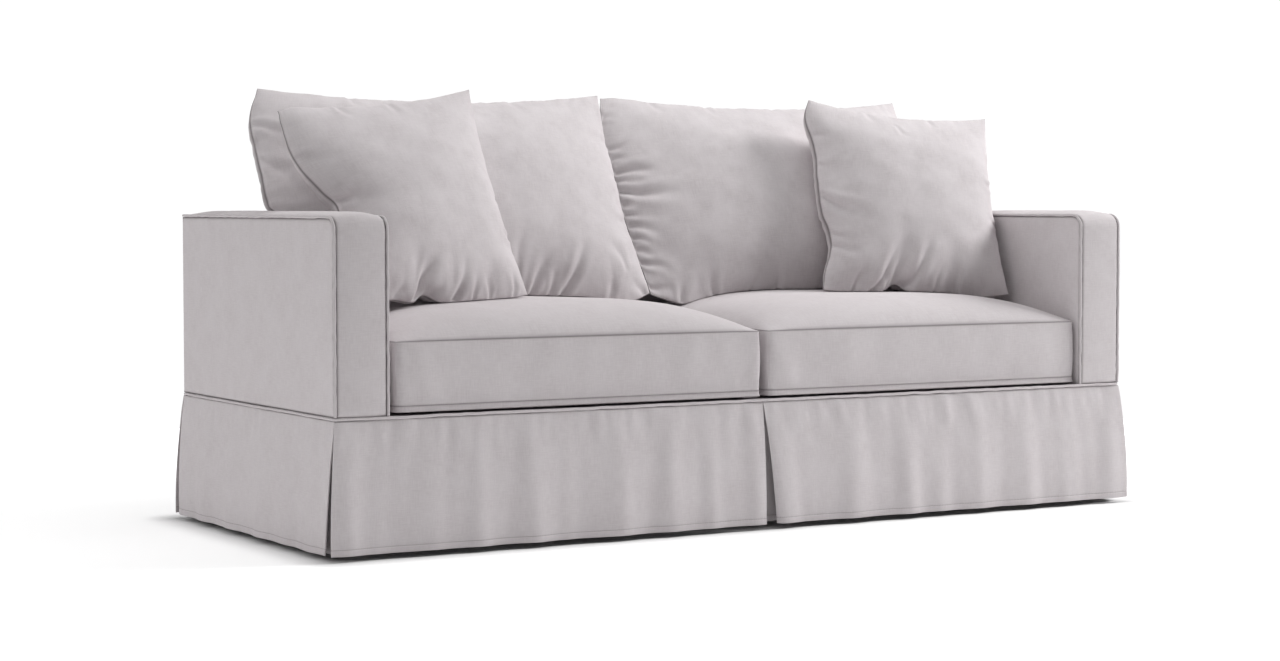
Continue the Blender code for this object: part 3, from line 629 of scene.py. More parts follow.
def backSkirt():
    def place(u, v):
        drop = 1.0 - v
        corner = cover["side"] + flareAt(drop) - skirt["cornerLap"] * drop
        x = corner - 2 * corner * u
        return x, cover["back"] + flareAt(drop) + foldsAt(x, drop, skirt["backFolds"]), v * cover["skirtTop"]

    hang("skirt_back", place, skirt["backFlat"], lambda u, v: skirtRise(u * 2, v, 70.0),
         stops(2 * cover["side"], skirt["plain"], (0.002, 0.004)))


def underlays():
    # The loose pieces behind the pleats: one flat, four bent round the corners.
    wide, leg, bend = skirt["underlayWidth"], skirt["underlayLeg"], skirt["underlayBend"]
    tall = cover["skirtTop"] - skirt["underlayDrop"]

    def rise(u, v):
        return hemRise(v * cover["skirtTop"])

    def middlePlace(u, v):
        y = cover["front"] + underPanel(1.0 - v) + skirt["middleSetback"] * (1.0 - v) ** 0.7
        return (u - 0.5) * wide, y, v * tall

    hang("pleat_underlay_middle", middlePlace, wide, rise, stops(wide, 0.008), None)

    path = [(0.0, length) for length in spread(leg, bend, 9)]
    for angle in spread(0.0, math.pi / 2, 6)[1:-1]:
        path.append((bend - bend * math.sin(angle), bend - bend * math.cos(angle)))
    path += [(length, 0.0) for length in spread(bend, leg, 9)]
    columns = spread(0.0, 1.0, len(path) - 1)
    for end, turn in (("front", 1), ("back", -1)):
        for side in (-1, 1):
            def place(u, v, end=end, turn=turn, side=side):
                step = columns.index(u)
                alongFront, alongSide = path[step if turn * side < 0 else -1 - step]
                inset = underPanel(1.0 - v) + skirt["underlaySetback"] * (1.0 - v) ** 0.7
                x = side * (cover["side"] - inset - alongFront)
                return x, cover[end] + turn * (inset + alongSide), v * tall

            hang(f"pleat_underlay_{end}_{sideName(side)}", place, 2 * leg, rise, columns, None)


for panelSign in (-1, 1):
    frontSkirt(panelSign)
    sideSkirt(panelSign)
backSkirt()
underlays()
print("skirt sewn")


piping = {
    "wander": 0.0009,  # how unevenly the cord lies in its seam
    "wanderPitch": 0.024,
    "step": 0.007,
    "ringBend": 0.008,  # of the ring in the skirt's seam, at the corners
    "ringInset": 0.0005,
    "ringHeight": 0.266,
}


def makeCord(node, path, closed=False):
    curve = bpy.data.curves.new(node, "CURVE")
    curve.dimensions = "3D"
    curve.bevel_depth = cover["cord"]
    curve.bevel_resolution = 2
    curve.use_fill_caps = not closed
    line = curve.splines.new("POLY")
    line.points.add(len(path) - 1)
    line.use_cyclic_u = closed
    for index, point in enumerate(path):
        away = [piping["wander"] * grain(index * piping["step"] / piping["wanderPitch"], axis * 9.1, 4.4)
                for axis in range(3)]
        line.points[index].co = (*(Vector(point) + Vector(away)), 1.0)
    piece = bpy.data.objects.new(node, curve)
    bpy.context.scene.collection.objects.link(piece)
    onlySelect(piece)
    bpy.ops.object.convert(target="MESH")
    bpy.ops.object.shade_smooth()
    dress(bpy.context.object, node, cordClothShaded)


def topCord(node, x, end):
    inset = cover["cordInset"]
    left = [(-x, y, z) for y, z in armEdge(inset, cover["foot"] + cover["gap"], end, piping["step"])]
    across = [(place, end, cover["top"] - inset)
              for place in spread(-x, x, round(2 * x / piping["step"]))[1:-1]]
    makeCord(node, left + across + [(x, y, z) for _, y, z in reversed(left)])


def skirtCord():
    bend = piping["ringBend"]
    corners = []
    for quarter, (signX, signY) in enumerate(((1, 1), (-1, 1), (-1, -1), (1, -1))):
        middleX = signX * (cover["side"] - piping["ringInset"] - bend)
        middleY = signY * (cover["back"] - piping["ringInset"] - bend)
        for turn in spread(math.pi / 2 * quarter, math.pi / 2 * (quarter + 1), 6):
            corners.append((middleX + bend * math.cos(turn), middleY + bend * math.sin(turn)))
    path = []
    for start, end in zip(corners, corners[1:] + corners[:1]):
        count = max(1, round(math.dist(start, end) / piping["step"]))
        path += [[a + (b - a) * part / count for a, b in zip(start, end)] + [piping["ringHeight"]]
                 for part in range(count)]
    makeCord("piping_skirt", path, True)


topCord("piping_outer", cover["side"] - cover["cordInset"], cover["back"] - cover["cordInset"])
topCord("piping_inner", cover["innerArm"] + cover["cordInset"], cover["insideBack"] + cover["cordInset"])
skirtCord()
print("piping sewn in")


seats = {
    "left": (-0.864, -0.002),  # from side to side
    "right": (0.021, 0.876),
    "setback": 0.012,
    "foot": 0.0065,  # lowest edge that shows, above the deck
    "lowSeam": 0.019,
    "seam": 0.147,  # top seam above the deck
    "crown": 0.072,
    "belly": 0.004,
    "draw": 0.004,
    "corner": 0.016,  # of the upright edges
    "crispCorner": 0.005,  # of the left cushion's edge at the middle
    "sharpness": 3.5,
    "roundness": 0.60,
    "sunk": 0.0018,  # how far a seam stands off the boxing
    "boxingWaves": 0.0034,
    # how dark the painted shade gets along each seam
    "seamShade": 0.8,
    "cuts": 44,
    "leftDips": ((-0.35, -0.25, 0.45, 0.005), (0.45, 0.15, 0.40, 0.004)),
    "rightDips": ((-0.20, -0.30, 0.40, 0.004), (0.50, -0.05, 0.45, 0.006)),
}


def bulge(value, sharpness, roundness):
    return max(0.0, 1.0 - abs(value) ** sharpness) ** roundness


def finishPadded(piece, node, material):
    bpy.ops.object.shade_smooth()
    dress(piece, node, material)


def seatCushion(side):
    seed = 90.0 + side
    start, end = seats[sideName(side)]
    dips = seats[sideName(side) + "Dips"]
    depth = cover["insideBack"] - cover["gap"] - cover["front"] - seats["setback"]
    middleX, middleY = (start + end) / 2, cover["front"] + seats["setback"] + depth / 2
    halfWidth, halfDepth = (end - start) / 2, depth / 2
    low, high, tone = seats["lowSeam"], seats["seam"], seats["seamShade"]
    slope = (seats["sharpness"], seats["roundness"])
    base = cover["deck"] + cover["gap"]
    # Heights of the rows of the boxing, closer together at its two seams.
    levels = [seats["foot"], 0.0095, 0.013, low - 0.0028, low - 0.0012, low, low + 0.0012, low + 0.0035]
    levels += spread(low + 0.007, high - 0.003, seats["cuts"] - 9) + [high - 0.0012, high]
    bpy.ops.mesh.primitive_cube_add(size=2)
    piece = bpy.context.object
    bpy.ops.object.mode_set(mode="EDIT")
    bpy.ops.mesh.select_all(action="SELECT")
    bpy.ops.mesh.subdivide(number_cuts=seats["cuts"])
    bpy.ops.object.mode_set(mode="OBJECT")

    def across(value):  # closes the mesh up towards the edges
        return math.sin(math.pi / 2 * value)

    def onTop(u, v):
        full = bulge(u, *slope) * bulge(v, *slope)
        z = high + seats["crown"] * full
        for dipU, dipV, reach, deep in dips:
            z -= deep * full * math.exp(-((u - dipU) ** 2 + (v - dipV) ** 2) / reach ** 2)
        offX, offY = (1 - abs(u)) * halfWidth, (1 - abs(v)) * halfDepth
        edge = min(offX, offY)
        along = u * halfWidth if offY < offX else v * halfDepth
        z += pucker(edge, along, seed, 0.0016) * smooth(edge / 0.006)
        z += 0.0016 * grain(u * 3.2, v * 2.6, seed) * full
        # the second value is painted shade, darkest at the top seam
        return z, tone - tone * smooth(edge / 0.0012)

    def onBoxing(along, z, pressed):
        # How far the boxing stands out, never in, and how much painted shade it gets beside a seam.
        height = (z - low) / (high - low)
        swell = seats["belly"] * max(0.0, 1.0 - (2 * height - 1) ** 2) * (0.2 if pressed else 1.0)
        offs = (abs(z - low), high - z)
        # painted shade beside the low and the top seam
        seam = tone * max(math.exp(-(off / 0.0011) ** 2) for off in offs)
        swell -= seats["sunk"] * max(math.exp(-(off / 0.0022) ** 2) for off in offs)
        if z < low:
            swell -= 0.004 * ((low - z) / (low - seats["foot"])) ** 2
        waves = grain(along / 0.050, height, seed) + 0.5 * grain(along / 0.022, height * 1.8, seed + 2)
        swell += seats["boxingWaves"] * smooth(height / 0.1) * smooth((1 - height) / 0.1) * waves
        folds = pucker(offs[0], along, seed + 4, 0.0014) + pucker(offs[1], along, seed + 5, 0.0014)
        return abs(swell + folds * (1.0 - seam)), seam

    def skin(cube):
        u, v = across(cube.x), across(cube.y)
        onX, onY = abs(cube.x) > 0.9999, abs(cube.y) > 0.9999
        swell = seam = 0.0
        if cube.z > 0.9999:
            z, seam = onTop(u, v)
        elif cube.z < -0.9999:
            z = seats["foot"] * max(0.0, 1.0 - 1.25 * bulge(u, *slope) * bulge(v, *slope))
        else:
            z = levels[round((cube.z + 1) / 2 * (len(levels) - 1))]
        if onX or onY:
            # The two cushions press each other flat, which is the last value.
            swell, seam = onBoxing(u * halfWidth if onY else v * halfDepth, z, side * cube.x < -0.9999)
        x = u * (halfWidth - seats["draw"] * (1.0 - v * v))
        y = v * (halfDepth - seats["draw"] * (1.0 - u * u))
        corner = seats["crispCorner"] if side < 0 < x and y < 0 else seats["corner"]
        outX, outY = abs(x) - (halfWidth - corner), abs(y) - (halfDepth - corner)
        if outX > 0 and outY > 0:
            # The corner's square grid is drawn in to a quarter circle.
            ring, away = max(outX, outY), math.hypot(outX, outY)
            x = math.copysign(halfWidth - corner + outX / away * (ring + swell), x)
            y = math.copysign(halfDepth - corner + outY / away * (ring + swell), y)
        else:
            x += math.copysign(swell, x) if onX else 0.0
            y += math.copysign(swell, y) if onY else 0.0
        return Vector((middleX + x, min(middleY + y, middleY + halfDepth), base + max(z, 0.0))), seam

    mesh = piece.data
    cubes = [vertex.co.copy() for vertex in mesh.vertices]
    layer = mesh.uv_layers.active
    for face in mesh.polygons:
        for loop in face.loop_indices:
            spot = cubes[mesh.loops[loop].vertex_index]
            x, y, z = across(spot.x) * halfWidth, across(spot.y) * halfDepth, spot.z * high / 2
            flat = (x, y) if abs(face.normal.z) > 0.5 else (x, z) if abs(face.normal.y) > 0.5 else (y, z)
            layer.data[loop].uv = flat
    skins = [skin(spot) for spot in cubes]
    setPlaces(mesh, [place for place, seam in skins])
    setSeamShade(mesh, [seam for place, seam in skins])
    soften(piece)
    finishPadded(piece, f"seat_cushion_{sideName(side)}", seatClothShaded)
    return piece


seatTrees = {sideName(side): treeOf(seatCushion(side)) for side in (-1, 1)}
print("seat cushions filled")


knife = {
    "sharpness": 2.3,
    "roundness": 0.62,
    "rest": 0.0014,  # kept clear of what a cushion is pressed on
    "pillowRest": 0.0025,
    "armLean": (0.004, 2.2),  # from this far over an arm's top a cushion may lean out, by this slope
    "backLean": (0.045, 0.8),
    "seamBead": 0.0006,  # half the thickness of the sewn edge
    "seamSunk": 0.0006,  # how far the seam is pulled in between its two panels
    "seamWaves": (0.0024, 0.0015),
    # painted shade along the seam: how dark it gets and how far it reaches
    "seamShade": 0.75,
    "seamShadeReach": 0.0009,
    "mesh": 0.0088,  # size of a face before the last subdivision
    "near": (0.0016, 0.0045, 0.009),
    "sewn": 0.0075,  # so near the seam the simulation holds the cloth
    "spare": (1.06, 1.10),  # size of the cut panels against the filled cushion
    "cap": 0.014,  # how far the simulation may move a point
    "cloth": {"quality": 6, "mass": 0.25, "tension_stiffness": 12, "compression_stiffness": 6,
              "shear_stiffness": 4, "bending_stiffness": 0.35, "tension_damping": 12,
              "bending_damping": 1.0, "air_damping": 4, "use_pressure": True, "uniform_pressure_force": 4.0},
    "puckers": 0.0023,  # gathers along the seams
    "puckerReach": 0.030,
    "lumps": 0.0035,  # soft unevenness of the filling
}

# What the values of the four knife-edged cushions are. corners: top left, top right, bottom right
# and bottom left. draw: how far the middle of an edge is drawn in. rim: how full the back panel is
# beside the seam, less is fuller. shoulders: edge, place along it in percent, how far it stands out
# there, half width. dents: edge, place along it, how far they run in, depth, half width. wrinkles:
# where each starts and ends on the face from -100 to 100, depth, half width.
leftBack = {
    "corners": inMetres(0, (-862, 290, 941), (-7, 284, 944), (-8, 46, 492), (-876, 52, 490)),
    "draw": {"left": -0.034, "right": 0, "top": 0.03, "bottom": -0.03},
    "rim": 0.42,
    "front": 0.098,
    "back": 0.14,
    "shoulders": inMetres(2,
        ("left", 84, 20, 85), ("right", 36, -20, 150), ("right", 76, -14, 110), ("bottom", 90, 28, 90)),
    "dents": inMetres(2,
        ("bottom", 20, 110, 6, 26), ("bottom", 44, 120, 7, 28), ("bottom", 66, 100, 6, 24),
        ("bottom", 86, 120, 8, 26), ("left", 35, 120, 6, 30), ("left", 72, 100, 5, 28),
        ("top", 30, 90, 4, 34), ("top", 62, 100, 5, 34), ("right", 30, 90, 5, 26)),
    "wrinkles": inMetres(4,
        (-98, 38, -86, -16, 4, 14), (-100, 62, -84, 50, 3.4, 10), (-100, 28, -88, 10, 3.6, 9),
        (-100, -20, -86, -30, 3.6, 10), (-52, 100, -48, 78, 2.2, 10), (-10, 100, -14, 80, 2.4, 10),
        (42, 100, 40, 82, 2.2, 10), (80, 100, 74, 84, 2, 9), (100, -30, 90, -34, 3, 9),
        (100, 10, 92, 12, 2.2, 9), (96, -100, 90, -84, 4, 9), (74, -100, 76, -72, 3.4, 10),
        (44, -100, 61, -60, 7, 9), (24, -100, 36, -70, 6, 9), (36, -100, 41, -82, 4, 7),
        (16, -80, 23, -46, 3, 12), (10, -100, 10, -84, 3.6, 8), (86, -70, 80, -50, 2.4, 12)),
}
rightBack = {
    "corners": inMetres(0, (0, 300, 946), (857, 290, 944), (876, 52, 490), (2, 62, 492)),
    "draw": {"left": 0, "right": 0.006, "top": 0.032, "bottom": -0.03},
    "front": 0.102,
    "back": 0.14,
    "flank": (1.8, 0.9),  # a longer, rounder slope at its left edge
    "shoulders": inMetres(2,
        ("left", 36, 20, 150), ("left", 76, 14, 110), ("left", 100, -6, 22), ("top", 0, -9, 26),
        ("bottom", 10, 32, 100)),
    "dents": inMetres(2,
        ("left", 16, 150, 8, 26), ("left", 36, 170, 8, 28), ("left", 58, 130, 6, 28),
        ("left", 80, 100, 5, 26), ("bottom", 16, 110, 8, 24), ("bottom", 36, 100, 6, 26),
        ("bottom", 60, 110, 6, 28), ("top", 40, 110, 5, 36)),
    "wrinkles": inMetres(4,
        (-100, 76, -94, 80, 3, 7), (-100, 42, -90, 46, 3.6, 8), (-100, 19, -82, 16, 7.5, 10),
        (-100, -2, -74, -10, 8.5, 10), (-100, 31, -93, 33, 3, 6), (-100, 8, -93, 10, 3.2, 6),
        (-100, -25, -92, -24, 3.4, 6), (-100, -47, -92, -47, 3, 6), (-100, -15, -90, -12, 4, 8),
        (-100, -35, -86, -39, 4.6, 9), (-100, -58, -92, -60, 3, 7), (-100, -69, -86, -72, 4.2, 8),
        (-100, -93, -88, -90, 4, 8), (-84, -100, -78, -80, 4.4, 9), (-62, -100, -64, -78, 4.6, 9),
        (-40, -100, -35, -82, 3.4, 8), (-22, -100, -26, -80, 3.4, 8), (-70, 100, -66, 84, 2.4, 9),
        (-34, 100, -36, 82, 2.4, 10), (10, 100, 8, 84, 2.2, 10), (56, 100, 60, 82, 2.6, 9),
        (100, 40, 90, 36, 3, 9)),
}
leftPillow = {
    "corners": inMetres(0, (-930, 60, 892), (-450, 90, 941), (-395, -80, 489), (-815, -190, 482)),
    "draw": {"left": 0.018, "right": 0.018, "top": 0.02, "bottom": -0.014},
    "front": 0.075,
    "back": 0.11,
    "shoulders": inMetres(2,
        ("left", 74, 27, 80), ("left", 49.5, -13, 22), ("left", 36, -14, 60), ("left", 100, -8, 20),
        ("top", 0, -11, 20), ("bottom", 32, -24, 30), ("bottom", 12, -12, 40)),
    "dents": inMetres(2,
        ("bottom", 28, 100, 7, 20), ("bottom", 50, 85, 6, 18), ("bottom", 74, 110, 8, 22),
        ("left", 46, 130, 10, 22), ("left", 70, 80, 5, 20), ("right", 22, 80, 5, 20)),
    "wrinkles": inMetres(4,
        (-52, -100, -18, -66, 8.6, 9), (-4, -100, 17, -72, 6.8, 9), (22, -100, 27, -84, 3.2, 6),
        (45, -100, 45, -84, 3.8, 7), (79, -100, 83, -82, 3.8, 7), (-30, -100, -16, -86, 3.4, 6),
        (-74, -100, -60, -82, 3.6, 7), (-100, 2, -85, -1, 8.5, 7), (-100, -12, -80, -16, 4.6, 9),
        (-100, -40, -86, -34, 3.6, 8), (-100, 48, -86, 40, 3.2, 8), (100, -46, 86, -44, 3.2, 8),
        (100, -10, 90, -12, 2.4, 8), (10, 100, 6, 80, 2.4, 8), (-44, 100, -40, 82, 2.2, 8)),
}
rightPillow = {
    "corners": inMetres(0, (463, 80, 936), (917, -10, 896), (862, -175, 470), (382, -85, 487)),
    "draw": {"left": 0.002, "right": 0.016, "top": 0.024, "bottom": -0.018},
    "front": 0.075,
    "back": 0.11,
    "rim": 0.42,
    "shoulders": inMetres(2,
        ("left", 90, 22, 50), ("left", 25, -26, 65), ("bottom", 38, -36, 28), ("bottom", 66, -12, 24)),
    "dents": inMetres(2,
        ("bottom", 16, 90, 6, 18), ("bottom", 40, 120, 9, 22), ("bottom", 66, 90, 6, 20),
        ("left", 38, 110, 7, 22), ("left", 60, 90, 6, 20), ("bottom", 86, 100, 7, 18)),
    "wrinkles": inMetres(4,
        (-100, 29, -88, 27, 3.6, 7), (-100, -4, -72, -25, 8.5, 10), (-100, -40, -84, -52, 4, 7),
        (-100, -56, -74, -62, 5, 8), (-100, 62, -88, 58, 2.6, 8), (-52, -100, -33, -70, 8.4, 9),
        (-38, -100, -37, -80, 4, 6), (-72, -100, -62, -80, 4.2, 7), (-18, -100, 6, -56, 8.4, 9),
        (14, -100, 20, -76, 4.4, 7), (40, -100, 38, -78, 4.6, 8), (64, -100, 58, -80, 4, 8),
        (-14, 79, -7, 67, 2, 6), (30, 100, 26, 82, 2.6, 8), (-40, 100, -36, 84, 2.4, 8),
        (100, 20, 86, 16, 3.2, 8), (100, -24, 86, -22, 3.4, 8)),
}


def pressOff(points, tree, direction, clearance):
    # Lifts each point that lies in this piece, or too near it, out of it along this direction.
    for index, point in enumerate(points):
        found = tree.ray_cast(point + direction, -direction)[0]
        if found is not None and (point - found).dot(direction) < clearance:
            points[index] = found + direction * clearance


def holdInside(point):
    overArm = max(0.0, point.z - cover["top"] - knife["armLean"][0]) * knife["armLean"][1]
    overBack = max(0.0, point.z - cover["top"] - knife["backLean"][0]) * knife["backLean"][1]
    reach = cover["innerArm"] - cover["cordInset"] - knife["rest"] + overArm
    point.x = max(-reach, min(reach, point.x))
    point.y = min(point.y, cover["insideBack"] - cover["cordInset"] - knife["rest"] + overBack)


def knifeCushion(node, form, seat, behind, seed):
    topLeft, topRight, bottomRight, bottomLeft = [Vector(place) for place in form["corners"]]
    right = topRight + bottomRight - topLeft - bottomLeft
    above = topLeft + topRight - bottomLeft - bottomRight
    width, height = right.length / 2, above.length / 2
    across, up = right.normalized(), above.normalized()
    forward = across.cross(above).normalized()
    # The length of each edge, and how far it is from there to the middle.
    halves = {edge: (height, width / 2) if edge in ("left", "right") else (width, height / 2)
              for edge in form["draw"]}

    def dented(u, v):
        total = 0.0
        for edge, place, length, depth, halfWidth in form["dents"]:
            inward, along = (u, v) if edge in ("left", "right") else (v, u)
            edgeLength, half = halves[edge]
            inward = (1 + inward if edge in ("left", "bottom") else 1 - inward) * half
            offset = ((along + 1) / 2 - place) * edgeLength / halfWidth
            total += depth * math.exp(-offset * offset - 2 * (inward / length) ** 2)
        return total

    def drawn(value, other, edge):
        edgeLength, half = halves[edge]
        out = -form["draw"][edge] * (1.0 - other * other)
        for where, place, reach, halfWidth in form["shoulders"]:
            if where == edge:
                offset = ((other + 1) / 2 - place) * edgeLength / halfWidth
                out += reach * math.exp(-offset * offset)
        along = (other + 1) / 2 * edgeLength
        slow, quick = knife["seamWaves"]
        wavy = slow * grain(along / 0.052, seed, half) + quick * grain(along / 0.021, seed + 3, half)
        return value * (1.0 + (out + wavy * smooth((1 - abs(other)) / 0.08)) / half)

    def skin(u, v, side):
        pulledU = drawn(u, v, "right" if u > 0 else "left")
        pulledV = drawn(v, u, "top" if v > 0 else "bottom")
        top = topLeft.lerp(topRight, (1 + pulledU) / 2)
        bottom = bottomLeft.lerp(bottomRight, (1 + pulledU) / 2)
        slope = (knife["sharpness"], knife["roundness"] if side > 0 else form.get("rim", knife["roundness"]))
        full = bulge(v, *slope) * bulge(u, *(form.get("flank", slope) if u < 0 < side else slope))
        swell = (form["front"] if side > 0 else form["back"]) * full
        edge = min((1 - abs(u)) * width, (1 - abs(v)) * height) / 2
        swell -= (dented(u, v) if side > 0 else 0.6 * dented(-u, v)) * min(1.0, 4 * full)
        place = bottom.lerp(top, (1 + pulledV) / 2) + forward * side * max(swell, knife["seamBead"])
        if edge < 0.0005:
            if abs(u) > 0.9999:
                place -= across * math.copysign(knife["seamSunk"], u)
            if abs(v) > 0.9999:
                place -= up * math.copysign(knife["seamSunk"], v)
        return place

    us, vs = [[2 * value - 1 for value in stops(length, knife["mesh"], knife["near"])]
              for length in (width, height)]
    piece = addGrid(us, vs)
    back = piece.modifiers.new("back", "SOLIDIFY")
    back.thickness = 0.01
    back.offset = -1
    applyAll(piece)
    mesh = piece.data
    spots = []
    for vertex in mesh.vertices:
        i, j = gridPlace(vertex, us, vs)
        spots.append((us[i], vs[j], 1 if vertex.co.z > -0.005 else -1))
    points = [skin(*spot) for spot in spots]
    setUv(mesh, [(u * width / 2, v * height / 2) for u, v, side in spots])

    def rest(places):
        for tree in behind:
            pressOff(places, tree, forward, knife["pillowRest"])
        pressOff(places, seat, Vector((0, 0, 1)), knife["rest"])
        for place in places:
            holdInside(place)

    rest(points)
    setPlaces(mesh, points)
    swellCloth(piece, points, spots, width, height)
    setSeamShade(mesh, [0.0] * len(spots))
    where = mesh.attributes.new("where", "FLOAT_VECTOR", "POINT")
    for spot, place in zip(where.data, spots):
        spot.vector = place
    soften(piece)
    crumple(mesh, form, width, height, seed)
    settled = [vertex.co.copy() for vertex in mesh.vertices]
    rest(settled)
    setPlaces(mesh, settled)
    finishPadded(piece, node, cushionClothLit)
    return piece


def crumple(mesh, form, width, height, seed):
    # Wrinkles that run in from each seam, gathers along it, the soft lumps of the filling, and painted shade
    # beside each seam.
    lines = []
    for startU, startV, endU, endV, depth, halfWidth in form["wrinkles"]:
        start = (startU * width / 2, startV * height / 2)
        run = (endU * width / 2 - start[0], endV * height / 2 - start[1])
        length = math.hypot(*run)
        lines.append((start, (run[0] / length, run[1] / length), length, depth, halfWidth))

    def wrinkled(x, y):
        total = 0.0
        for start, along, length, depth, halfWidth in lines:
            awayX, awayY = x - start[0], y - start[1]
            run = (awayX * along[0] + awayY * along[1]) / length
            if -0.3 < run < 1.5:
                off = awayX * along[1] - awayY * along[0]
                off += 0.35 * halfWidth * math.sin(run * 5 + depth * 4000)  # none of them is straight
                off /= halfWidth * (0.7 + 0.75 * max(run, 0.0))
                if abs(off) < 4:
                    fade = smooth((1.4 - run) / 1.1)
                    ridges = math.exp(-(off - 1.7) ** 2) + math.exp(-(off + 1.7) ** 2)
                    total += depth * fade * (0.5 * ridges - math.exp(-1.3 * abs(off) ** 1.5))
        return total

    seamShades, folded = [], []
    for vertex, spot in zip(mesh.vertices, mesh.attributes["where"].data):
        u, v, side = spot.vector
        x, y = u * width / 2, v * height / 2
        edge = max(0.0, min((1 - abs(u)) * width, (1 - abs(v)) * height) / 2)
        # painted shade in a narrow band along the seam
        seamShades.append(knife["seamShade"] * math.exp(-(edge / knife["seamShadeReach"]) ** 2))
        move = wrinkled(x, y) if side > 0 else 0.6 * wrinkled(-x, y)
        for along, inward in ((y, (u + 1) * width / 2), (y, (1 - u) * width / 2), (x, (v + 1) * height / 2),
                              (x, (1 - v) * height / 2)):
            if inward < 0.1:
                strong = 0.35 + 1.3 * abs(grain(along / 0.085, seed, inward))
                wave = grain(along / 0.019, inward / 0.06, seed)
                wave += 0.5 * grain(along / 0.009, inward / 0.03, seed)
                move += knife["puckers"] * strong * wave * math.exp(-inward / knife["puckerReach"])
        move *= smooth(edge / 0.0055)
        inside = smooth(edge / 0.06)
        move += knife["lumps"] * inside * (grain(x / 0.12, y / 0.10, seed + side)
                                           + 0.4 * grain(x / 0.05, y / 0.045, seed - side))
        folded.append(vertex.co + vertex.normal * move)
    setPlaces(mesh, folded)
    setSeamShade(mesh, seamShades)
    mesh.attributes.remove(mesh.attributes["where"])


def swellCloth(piece, points, spots, width, height):
    # The two cut panels are a little larger than the filled cushion, so when the filling presses
    # them out, the spare cloth buckles into wrinkles beside the seam.
    onlySelect(piece)
    group = piece.vertex_groups.new(name="sewn")
    group.add([index for index, (u, v, side) in enumerate(spots)
               if min((1 - abs(u)) * width, (1 - abs(v)) * height) / 2 < knife["sewn"]], 1.0, "REPLACE")
    piece.shape_key_add(name="filled")
    cut = piece.shape_key_add(name="cut")
    for index, (u, v, side) in enumerate(spots):
        spare = knife["spare"]
        cut.data[index].co = (u * width / 2 * spare[0], v * height / 2 * spare[1], 0.004 * side)
    cut.value = 0.0
    cloth = piece.modifiers.new("cloth", "CLOTH")
    for name, value in knife["cloth"].items():
        setattr(cloth.settings, name, value)
    cloth.settings.effector_weights.gravity = 0
    cloth.settings.vertex_group_mass = "sewn"
    cloth.settings.rest_shape_key = cut
    cloth.collision_settings.use_collision = False
    cloth.collision_settings.use_self_collision = False
    scene = bpy.context.scene
    for frameNumber in range(1, 21):
        scene.frame_set(frameNumber)
    evaluated = piece.evaluated_get(bpy.context.evaluated_depsgraph_get())
    moves = [vertex.co - start for vertex, start in zip(evaluated.data.vertices, points)]
    piece.modifiers.clear()
    piece.shape_key_clear()
    piece.vertex_groups.clear()
    scene.frame_set(1)
    cap = knife["cap"]
    setPlaces(piece.data, [start + move * min(1.0, cap / max(move.length, cap))
                           for start, move in zip(points, moves)])


backs = {}
for sideWord, backForm, cushionSeed in (("left", leftBack, 1.0), ("right", rightBack, 2.0)):
    backs[sideWord] = knifeCushion(f"back_cushion_{sideWord}", backForm, seatTrees[sideWord], (), cushionSeed)
    print(sideWord, "back cushion filled")
for sideWord, pillowForm, cushionSeed in (("left", leftPillow, 3.0), ("right", rightPillow, 4.0)):
    knifeCushion(f"throw_pillow_{sideWord}", pillowForm, seatTrees[sideWord], (treeOf(backs[sideWord]),),
                 cushionSeed)
    print(sideWord, "pillow filled")


studio = {
    "paper": "#f0f0f0",
    "paperSize": 5.2,
    "wallBrightness": 1.02,  # of the white room, which only shows behind
    "paperGlow": 0.45,  # evens out the paper round the sofa
    "glowStart": 0.006,  # metres from the sofa's footprint where the paper starts to glow
    "glowNear": 0.11,
    "glowFar": 1.5,  # from here the paper is as bright as the wall
    # name, place, size, watts
    "lights": (
        ("softKey", (3.6, -1.2, 2.6), 1.3, 140.0),
        ("overhead", (0.0, 0.0, 3.4), 3.0, 62.0),
        ("leftFill", (-3.6, -0.4, 1.6), 2.4, 25.0),
        ("leftBackFill", (-3.0, 2.0, 2.2), 2.4, 22.0),
        ("frontFill", (-1.5, -4.5, 1.8), 2.5, 13.0),
    ),
    "aim": (0.0, 0.0, 0.4),  # where the lights point
    "cameraPlace": (-3.0216, -4.9601, 0.6835),
    "cameraTurn": (90 - 2.8069, 0.0, -30.8119),
    "lens": 71.60,
}


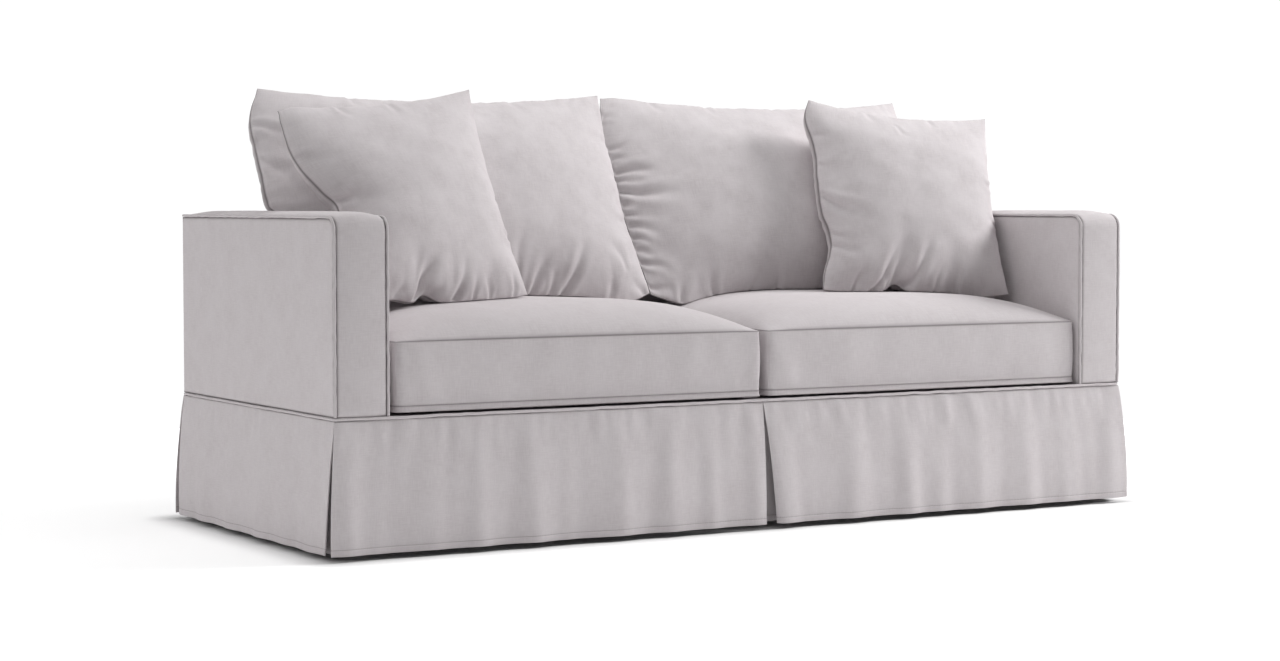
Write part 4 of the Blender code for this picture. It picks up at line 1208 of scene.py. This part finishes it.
def paperFloor():
    # Seamless studio paper, matte and very smooth. Its material glows more away from the sofa, painted light
    # in place of the paper's own background lights, so floor and wall run into each other.
    bpy.ops.mesh.primitive_plane_add(size=studio["paperSize"], location=(0, 0, cover["floor"]))
    paper = bpy.context.object
    bpy.ops.object.transform_apply(location=True)
    paper.name = "studioFloor"
    material = bpy.data.materials.new("seamlessPaper")
    material.use_nodes = True
    tree = material.node_tree
    shader = tree.nodes["Principled BSDF"]
    for socket, value in (("Roughness", 0.9), ("Specular IOR Level", 0.1),
                          ("Base Color", colour(studio["paper"])), ("Emission Color", (1, 1, 1, 1))):
        shader.inputs[socket].default_value = value
    spot = addNode(tree, "TexCoord").outputs["Object"]
    # The distance from the cover's footprint.
    for operation, other in (("ABSOLUTE", (0, 0, 0)), ("SUBTRACT", (cover["side"], cover["back"], 0)),
                             ("MAXIMUM", (0, 0, 0)), ("LENGTH", (0, 0, 0))):
        away = addNode(tree, "VectorMath", [(0, spot), (1, other)], operation=operation)
        spot = away.outputs[0]
    near, far = [remap(tree, away.outputs["Value"], studio[start], studio[end], studio[bright], "SMOOTHSTEP")
                 for start, end, bright in (("glowStart", "glowNear", "paperGlow"),
                                            ("glowNear", "glowFar", "wallBrightness"))]
    glow = addNode(tree, "Math", [(0, near), (1, far)], operation="MAXIMUM")
    tree.links.new(glow.outputs[0], shader.inputs["Emission Strength"])
    paper.data.materials.append(material)


def studioLights():
    world = bpy.data.worlds.new("whiteRoom")
    bpy.context.scene.world = world
    world.use_nodes = True
    wall = world.node_tree.nodes["Background"]
    wall.inputs["Color"].default_value = (1, 1, 1, 1)
    wall.inputs["Strength"].default_value = studio["wallBrightness"]
    world.cycles_visibility.diffuse = False  # the softboxes light the cover, the wall doesn't
    for name, place, size, watts in studio["lights"]:
        bpy.ops.object.light_add(type="AREA", location=place)
        box = bpy.context.object
        box.name = name
        box.data.energy = watts
        box.data.size = size
        aim = Vector(studio["aim"]) - box.location
        box.rotation_euler = aim.to_track_quat("-Z", "Y").to_euler()


def studioCamera():
    bpy.ops.object.camera_add(location=studio["cameraPlace"])
    camera = bpy.context.object
    camera.name = "studioCamera"
    camera.rotation_euler = [math.radians(turn) for turn in studio["cameraTurn"]]
    camera.data.lens = studio["lens"]
    camera.data.sensor_width = 36
    bpy.context.scene.camera = camera


paperFloor()
studioLights()
studioCamera()
bpy.context.scene.view_settings.view_transform = "Standard"
print("studio ready")
